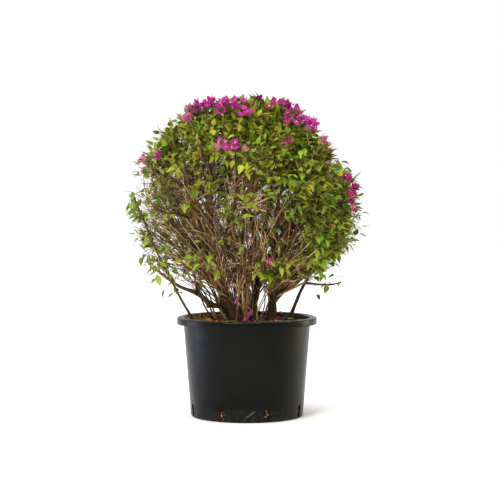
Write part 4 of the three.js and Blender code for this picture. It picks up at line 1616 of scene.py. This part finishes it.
@dataclass
class BarkMix:
    """The potting mix: a bed that fills the pot, with loose bark flakes on top and behind the slots."""

    shaper: ScatterShaper
    pot: NurseryPot
    segments: int = 120
    rings: int = 30
    rough: float = 3 * MM
    seed: int = 3
    flakes: Sequence[tuple[str, ChipFinish, float]] = (
        ("bark_flakes_orange", ChipFinish("pine_bark_orange", "#7a4c22", "#a87038", "#cc9c60"), 6600.0),
        ("bark_flakes_brown", ChipFinish("pine_bark_brown", "#38220f", "#644222", "#8a6238"), 5600.0),
        ("bark_flakes_grey", ChipFinish("pine_bark_grey", "#40352a", "#76624d", "#a8927a"), 900.0),
    )

    def bed(self) -> bpy.types.Object:
        """The bed, whose top follows the CAD mix with a rough surface. It marks where flakes can lie."""
        node = CadPart("soil")
        low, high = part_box("soil")
        rim, floor = (high.x - low.x) / 2 - 0.5 * MM, low.z
        foot = node.reach_at(floor)
        profile = [(0.0, floor), (foot, floor)]
        profile += [(foot + (rim - foot) * k / 12, floor + (high.z - 12 * MM - floor) * k / 12) for k in range(1, 12)]
        profile += [(rim * (1 - k / self.rings), high.z) for k in range(self.rings + 1)]
        vertices, faces = lathe(profile, self.segments)
        top = vertices[:, 2] > high.z - 1e-6
        for i in np.nonzero(top)[0]:
            x, y, _ = vertices[i]
            lift = noise.fractal(Vector((x, y, 0.0)) * 45, 0.6, 2.0, 3) * self.rough
            vertices[i, 2] = node.surface_at(x, y) + lift - self.rough
        made = mesh_object("bark_mix_bed", vertices, faces)
        NurseryPot.face_out(made)
        bare = made.data.attributes.new("bare", "FLOAT", "POINT")
        bare.data.foreach_set("value", self.open_to_view(vertices, top).astype(np.float32))
        return made

    def open_to_view(self, vertices: Array, top: Array) -> Array:
        """1 on the bed's top and behind each slot, and 0 elsewhere."""
        bearing = np.degrees(np.arctan2(vertices[:, 0], -vertices[:, 1]))
        pitch = 360 / self.pot.slots
        off = np.abs((bearing - self.pot.slot_bearing + pitch / 2) % pitch - pitch / 2)
        low, high = 3 * self.pot.wall, self.pot.slot_high
        behind = (off < 5) & (vertices[:, 2] > low) & (vertices[:, 2] < high) & (np.hypot(*vertices[:, :2].T) > 0.15)
        return np.where(top | behind, 1.0, 0.0)

    def shapes(self) -> bpy.types.Collection:
        """Three flakes: thin, angular plates about as wide as 1, to be scaled."""
        random = np.random.default_rng(self.seed)
        shapes = []
        for k in range(3):
            angles = np.linspace(0, 2 * math.pi, 5, endpoint=False) + random.uniform(-0.35, 0.35, 5)
            reach = random.uniform(0.6, 1.0, 5)
            outline = np.stack([np.cos(angles) * reach, np.sin(angles) * reach * 0.5], axis=1)
            thick = random.uniform(0.1, 0.2)
            lower = [(x, y, -thick) for x, y in outline]
            upper = [(0.8 * x, 0.8 * y, thick + 0.15 * x) for x, y in outline]
            faces = [[4, 3, 2, 1, 0], [5, 6, 7, 8, 9]] + [[j, (j + 1) % 5, 5 + (j + 1) % 5, 5 + j] for j in range(5)]
            shapes.append(mesh_object(f"flake_shape_{k}", np.array(lower + upper), faces))
        return shape_collection("flake_shapes", shapes)

    def build(self) -> list[bpy.types.Object]:
        """The bed, which stands for the CAD mix, and the flakes on it."""
        bed = self.bed()
        shapes = self.shapes()
        pieces = []
        for k, (name, finish, density) in enumerate(self.flakes):
            source = bpy.data.objects.new(name + "_ground", bed.data.copy())
            bpy.context.scene.collection.objects.link(source)
            piece = self.shaper.shape(source, name, Shapes=shapes, Density=density, Smallest=3.5 * MM,
                                      Largest=11 * MM, Seed=self.seed + k, Material=finish.build())
            pieces.append(keep_piece(piece))
        clear_collection(shapes)
        bed.data.materials.append(ChipFinish("composted_bark", "#1c120b", "#38220f", "#5a3a1e").build())
        pieces.append(keep_piece(bed, ["soil"]))
        return pieces


@dataclass
class CadPart:
    """One CAD node that a finer piece takes its surface from."""

    name: str

    def __post_init__(self) -> None:
        """Keeps the node's mesh as a tree for rays."""
        mesh = bpy.data.objects[self.name].data
        self.corners = [v.co.copy() for v in mesh.vertices]
        self.tree = BVHTree.FromPolygons(self.corners, [p.vertices[:] for p in mesh.polygons])

    def surface_at(self, x: float, y: float) -> float:
        """The height of the node's top under a point, or its highest corner past its edge."""
        hit = self.tree.ray_cast(Vector((x, y, 2.0)), Vector((0, 0, -1)))[0]
        return hit.z if hit else self.tree.find_nearest(Vector((x, y, 2.0)))[0].z

    def reach_at(self, height: float) -> float:
        """The radius of the node's corners at a height."""
        return max(math.hypot(c.x, c.y) for c in self.corners if abs(c.z - height) < MM)


# ---------------------------------------------------------------- studio


@dataclass
class Studio:
    """A pale floor, soft light and the camera."""

    floor_half: float = 12.0
    camera_at: tuple[float, float, float] = (0.011, -5.8, 0.84)
    look_at: tuple[float, float, float] = (0.011, 0.0, 0.593)
    lens_mm: float = 117.0
    wall_strength: float = 1.0  # the white wall behind the plant and beside it
    room_strength: float = 0.42  # the dimmer room behind the camera

    def camera(self) -> None:
        """The camera, a long lens at the height of the crown's middle."""
        data = bpy.data.cameras.new("camera")
        data.lens, data.sensor_width, data.clip_end = self.lens_mm, 36.0, 100.0
        made = bpy.data.objects.new("camera", data)
        made.location = self.camera_at
        made.rotation_euler = (Vector(self.look_at) - Vector(self.camera_at)).to_track_quat("-Z", "Y").to_euler()
        bpy.context.scene.collection.objects.link(made)
        bpy.context.scene.camera = made

    def lamp(self, name: str, place: Sequence[float], target: Sequence[float], size: float, watts: float,
             colour: str) -> None:
        """A square soft box that looks at a point."""
        data = bpy.data.lights.new(name, "AREA")
        data.size, data.energy, data.color = size, watts, srgb(colour)[:3]
        made = bpy.data.objects.new(name, data)
        made.location = place
        made.rotation_euler = (Vector(target) - Vector(place)).to_track_quat("-Z", "Y").to_euler()
        bpy.context.scene.collection.objects.link(made)

    def build(self) -> None:
        """Sets the whole studio up."""
        self.camera()
        half = self.floor_half
        floor = mesh_object("floor", np.array([(-half, -half, 0), (half, -half, 0), (half, half, 0), (-half, half, 0)]),
                            [[0, 1, 2, 3]])
        floor.data.materials.append(FloorFinish().build())
        floor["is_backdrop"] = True
        world = bpy.data.worlds.new("white_studio")
        world.use_nodes = True
        background = world.node_tree.nodes["Background"]
        background.inputs["Color"].default_value = srgb("#ffffff")
        way = add_node(world.node_tree, "ShaderNodeTexCoord")
        ahead = add_node(world.node_tree, "ShaderNodeSeparateXYZ", {"Vector": way.outputs["Generated"]})
        wall = add_node(world.node_tree, "ShaderNodeMapRange", {"Value": ahead.outputs["Y"]},
                        {"From Min": -0.75, "From Max": -0.1, "To Min": self.room_strength,
                         "To Max": self.wall_strength})
        world.node_tree.links.new(wall.outputs["Result"], background.inputs["Strength"])
        bpy.context.scene.world = world
        middle = (0.0, 0.0, 0.75)
        self.lamp("key_soft_box", (-1.3, -2.8, 2.9), middle, 1.6, 138.0, "#fffaf2")
        self.lamp("left_soft_box", (-1.9, 0.1, 0.3), (0, 0, 0.2), 0.9, 20.0, "#c0caff")
        self.lamp("right_soft_box", (2.2, 0.7, 0.5), (0, 0, 0.2), 0.8, 17.0, "#ffeaa8")
        bpy.context.scene.view_settings.view_transform = "Standard"


# ---------------------------------------------------------------- the plant


@dataclass
class Bush:
    """The bush itself: limbs, shoots, leaves and blossom."""

    frame: CadFrame
    crown: Crown
    thicket: Thicket
    foliage: Foliage
    blossom: Blossom
    boughs: Generation = field(default_factory=lambda: Generation(
        "boughs", 5.2 * MM, 2.4 * MM, 60 * MM, 420 * MM, 16 * MM, 0.06))
    stems: Generation = field(default_factory=lambda: Generation(
        "stems", 3.8 * MM, 1.4 * MM, 60 * MM, 300 * MM, 14 * MM, 0.085, 1.0, 0.4, 2.0, 0.5, 12 * MM))
    rods: Generation = field(default_factory=lambda: Generation(
        "rods", 1.8 * MM, 0.8 * MM, 110 * MM, 560 * MM, 24 * MM, 0.045, 1.4, 0.45, 1.2, 0.5, 75 * MM))
    branches: Generation = field(default_factory=lambda: Generation(
        "branches", 1.7 * MM, 0.9 * MM, 60 * MM, 330 * MM, 20 * MM, 0.055, lowest=70 * MM))
    twigs: Generation = field(default_factory=lambda: Generation(
        "twigs", 1.2 * MM, 0.7 * MM, 30 * MM, 200 * MM, 18 * MM, 0.045))
    strays: Generation = field(default_factory=lambda: Generation(
        "stray twigs", 1.2 * MM, 0.6 * MM, 40 * MM, 230 * MM, 16 * MM, 0.09, 0.0, 0.1))
    flowering: Generation = field(default_factory=lambda: Generation(
        "flowering shoots", 1.2 * MM, 0.8 * MM, 25 * MM, 300 * MM, 18 * MM, 0.03))
    depth_in_mass: tuple[float, float] = (20 * MM, 90 * MM)
    sprays_per_square_metre: float = 1000.0
    sucker_count: int = 34
    sucker_rise: tuple[float, float] = (90 * MM, 230 * MM)
    sprig_limb: float = 3.4 * MM  # a limb with a thinner tip than this carries sprigs
    sprig_pitch: float = 42 * MM
    sprig_length: tuple[float, float] = (30 * MM, 75 * MM)
    fallen_leaves: Sequence[tuple[tuple[float, float, float], Tint]] = (
        ((0.0, -0.185, 0.353), Tint.LIME), ((-0.06, -0.16, 0.353), Tint.DEEP), ((0.12, -0.13, 0.353), Tint.MID),
        ((0.17, -0.05, 0.353), Tint.FRESH), ((0.15, -0.1, 0.352), Tint.DEEP), ((-0.15, -0.08, 0.356), Tint.BRONZE),
        ((0.09, 0.12, 0.352), Tint.MID), ((-0.1, 0.13, 0.353), Tint.GOLDEN),
    )
    fallen_bracts: Sequence[tuple[tuple[float, float, float], Bloom]] = (
        ((0.102, -0.19, 0.353), Bloom.DEEP), ((0.018, -0.15, 0.372), Bloom.BRIGHT),
        ((-0.036, -0.12, 0.426), Bloom.BRIGHT), ((-0.01, -0.17, 0.355), Bloom.DEEP),
        ((-0.19, -0.1, 0.47), Bloom.PALE), ((0.13, 0.14, 0.353), Bloom.PALE),
    )
    sprig_tints: Sequence[Tint] = (Tint.FRESH, Tint.MID, Tint.DEEP)
    spray_share: float = 0.55  # how dense the sprays that stand apart are

    def spread(self, count: int, elevations: tuple[float, float], shares: tuple[float, float]) -> Array:
        """Seeded targets, evenly over a band of elevations and between two shares of the way out."""
        bearing, elevation = self.thicket.directions(count, *elevations)
        return self.crown.at(bearing, elevation, self.thicket.random.uniform(*shares, count))

    def mass_targets(self) -> Array:
        """Seeded points just under the masses' outward faces, fewer below the fringe."""
        random = self.thicket.random
        found = []
        for name in self.frame.named("foliage"):
            triangles = self.frame.triangles(name)
            a, b, c = triangles[:, 0], triangles[:, 1], triangles[:, 2]
            normals = np.cross(b - a, c - a)
            areas = np.linalg.norm(normals, axis=1) / 2
            apart = "spray" in name
            outward = (unit(normals) * self.crown.outward(triangles.mean(axis=1))).sum(axis=1)
            areas = areas * (1.0 if apart else np.clip(outward + 0.1, 0, 1))
            density = self.sprays_per_square_metre * (self.spray_share if apart else 1.0)
            picked = random.choice(len(areas), size=max(int(density * areas.sum()), 2), p=areas / areas.sum())
            u, v = random.uniform(size=(2, len(picked)))
            u, v = np.where(u + v > 1, 1 - u, u), np.where(u + v > 1, 1 - v, v)
            points = a[picked] + (b - a)[picked] * u[:, None] + (c - a)[picked] * v[:, None]
            depth = random.uniform(*((0.0, 25 * MM) if apart else self.depth_in_mass), len(picked))
            inward = unit(triangles.reshape(-1, 3).mean(axis=0) - points) if apart else -self.crown.outward(points)
            points = self.crown.dented(points + inward * depth[:, None])
            kept = random.uniform(size=len(points)) < (1.0 if apart else self.crown.leafiness(points))
            found.append(points[kept])
        return np.concatenate(found)

    def grow(self, limbs: Sequence[Stem]) -> list[tuple[list[Stem], int]]:
        """Grows the wood, the leaves and the blossom.

        Args:
            limbs: The limbs that the shoots grow on from.

        Returns:
            The shoots, in lists with the number of sides that their tubes get.
        """
        thicket = self.thicket
        suckers = self.suckers()
        thicket.stems = list(limbs) + suckers
        boughs = suckers + thicket.grow(self.spread(230, (-42, 90), (0.5, 0.86)), self.boughs)
        stems = thicket.grow(self.spread(260, (-85, -28), (0.35, 0.9)), self.stems)
        older = list(thicket.stems)
        low_rods = thicket.grow(self.spread(430, (-43, 8), (0.84, 0.99)), self.rods)
        thicket.stems = list(older)
        rods = low_rods + thicket.grow(self.spread(500, (8, 90), (0.78, 0.93)), self.rods)
        thicket.stems = older + rods
        outer = self.spread(850, (-44, 90), (0.78, 0.95))
        inner = self.spread(1150, (-48, 78), (0.25, 0.8))
        branches = thicket.grow(np.concatenate([outer, inner]), self.branches)
        thicket.stems = older + rods + branches
        settled = list(thicket.stems)
        loose = thicket.grow(self.spread(1300, (-60, 75), (0.45, 0.97)), self.strays)
        thicket.stems = settled
        leafy = thicket.grow(self.mass_targets(), self.twigs)
        thicket.stems = settled
        flowering = []
        for place, bloom in self.blossom.places():
            for stem in thicket.grow(place[None], self.flowering):
                self.blossom.open_on(stem, bloom)
                flowering.append(stem)
        sprigs = [sprig for limb in limbs if limb.radii[-1] < self.sprig_limb for sprig in self.sprigs_of(limb)]
        for sprig in sprigs:
            self.foliage.spray(sprig, int(self.foliage.random.integers(2, 5)), self.sprig_tints)
        self.dress(rods + branches + loose, leafy, flowering)
        self.strew()
        return [(boughs + stems, 7), (rods + branches, 5), (loose + leafy + sprigs + flowering, 4)]

    def sprigs_of(self, limb: Stem) -> list[Stem]:
        """Short side shoots along the outer part of a thin bare limb, turned out and hanging a little."""
        random = self.thicket.random
        count = int(limb.length() / self.sprig_pitch)
        sprigs = []
        for k in np.linspace(0.25, 1.0, count) * (len(limb.points) - 1):
            foot, tangent = limb.points[int(k)], limb.tangents()[int(k)]
            side = unit(random.normal(size=3) + 1.1 * self.crown.outward(foot) - 0.3 * UP)
            tip = foot + side * random.uniform(*self.sprig_length)
            tip = self.crown.centre + (tip - self.crown.centre) / max(1.0, float(self.crown.share(tip)))
            sprigs.append(self.thicket.shoot(foot, tangent, tip, min(self.twigs.foot, limb.radii[int(k)]), self.twigs))
        return sprigs

    def suckers(self) -> list[Stem]:
        """Thin stems that rise from the mix between the trunks and spread into the crown."""
        random = self.thicket.random
        grown = []
        for _ in range(self.sucker_count):
            bearing, reach = random.uniform(0, 2 * math.pi), self.thicket.heart * random.uniform(0.3, 1.3)
            foot = np.array([reach * math.sin(bearing) - 0.2 * self.thicket.heart, -reach * math.cos(bearing),
                             self.thicket.ground - 5 * MM])
            spread = random.uniform(1.3, 2.6)
            rise = random.uniform(*self.sucker_rise)
            tip = np.array([foot[0] * spread, foot[1] * spread, self.thicket.ground + rise])
            tip = tip + random.normal(0, 0.2 * rise, 3) * np.array([1, 1, 0])
            grown.append(self.thicket.shoot(foot, UP, tip, self.stems.foot * random.uniform(0.6, 1.3), self.stems))
        return grown

    def strew(self) -> None:
        """Lays fallen leaves and bracts on the mix and in the forks."""
        random = self.foliage.random
        for place, tint in self.fallen_leaves:
            way = unit(random.normal(size=3) * np.array([1, 1, 0.1]))
            facing = unit(UP + random.normal(0, 0.25, 3))
            self.foliage.placings[tint].put(np.array(place), way, facing, random.uniform(0.7, 1.0), 0, 0.7)
        for place, bloom in self.fallen_bracts:
            way = unit(random.normal(size=3) + 0.6 * UP)
            facing = unit(np.cross(way, random.normal(size=3)))
            self.blossom.placings[bloom].put(np.array(place), way, facing, 0.75, 0, 0.8)

    def dress(self, bare: Sequence[Stem], leafy: Sequence[Stem], flowering: Sequence[Stem]) -> None:
        """Deals the leaves out to the shoots."""
        random = self.foliage.random
        for stem in leafy:
            self.foliage.spray(stem, int(random.integers(3, 6)))
        for stem in flowering:
            self.foliage.spray(stem, int(random.integers(1, 3)))
        for stem in bare:
            tip = stem.points[-1]
            likely = float(self.crown.leafiness(tip)) if float(self.crown.share(tip)) > 0.74 else 0.0
            if random.uniform() < 0.04 + 0.6 * likely**2:
                self.foliage.spray(stem, int(random.integers(2, 5)))


def main() -> None:
    """Builds the plant in its pot, and the studio round it."""
    logging.basicConfig(level=logging.INFO, format="%(name)s: %(message)s", stream=sys.stdout)
    frame = CadFrame.load()
    Studio().build()
    crown = Crown.of(frame)
    pot = NurseryPot(PolyethyleneFinish())
    pot.build()
    BarkMix(ScatterShaper("scattered_flakes"), pot).build()
    limbs = BarkedLimbs(frame, LimbReader(frame), BarkFinish())
    stems = limbs.read_all()
    bark = limbs.finish.build()
    for stem in stems:
        limbs.build(stem, bark)
    placed = PlacedShaper("placed_shapes")
    ground = float(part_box("soil")[1].z)
    bush = Bush(frame, crown, Thicket(crown, ground), Foliage(crown, placed), Blossom(crown, placed))
    wood = [
        TwigFinish("twigs_russet", "#4c2f18", "#7d5933", "#a87f50"),
        TwigFinish("twigs_tan", "#80663f", "#b09264", "#d8bd8e"),
        TwigFinish("twigs_dark", "#20170c", "#392a17", "#574329"),
    ]
    Twigs(TubeShaper("round_tubes"), wood, (0.37, 0.28, 0.35)).build(bush.grow(stems))
    bush.foliage.build(frame.named("foliage"))
    bush.blossom.build()
    frame.write_sizes()


if __name__ == "__main__":
    main()
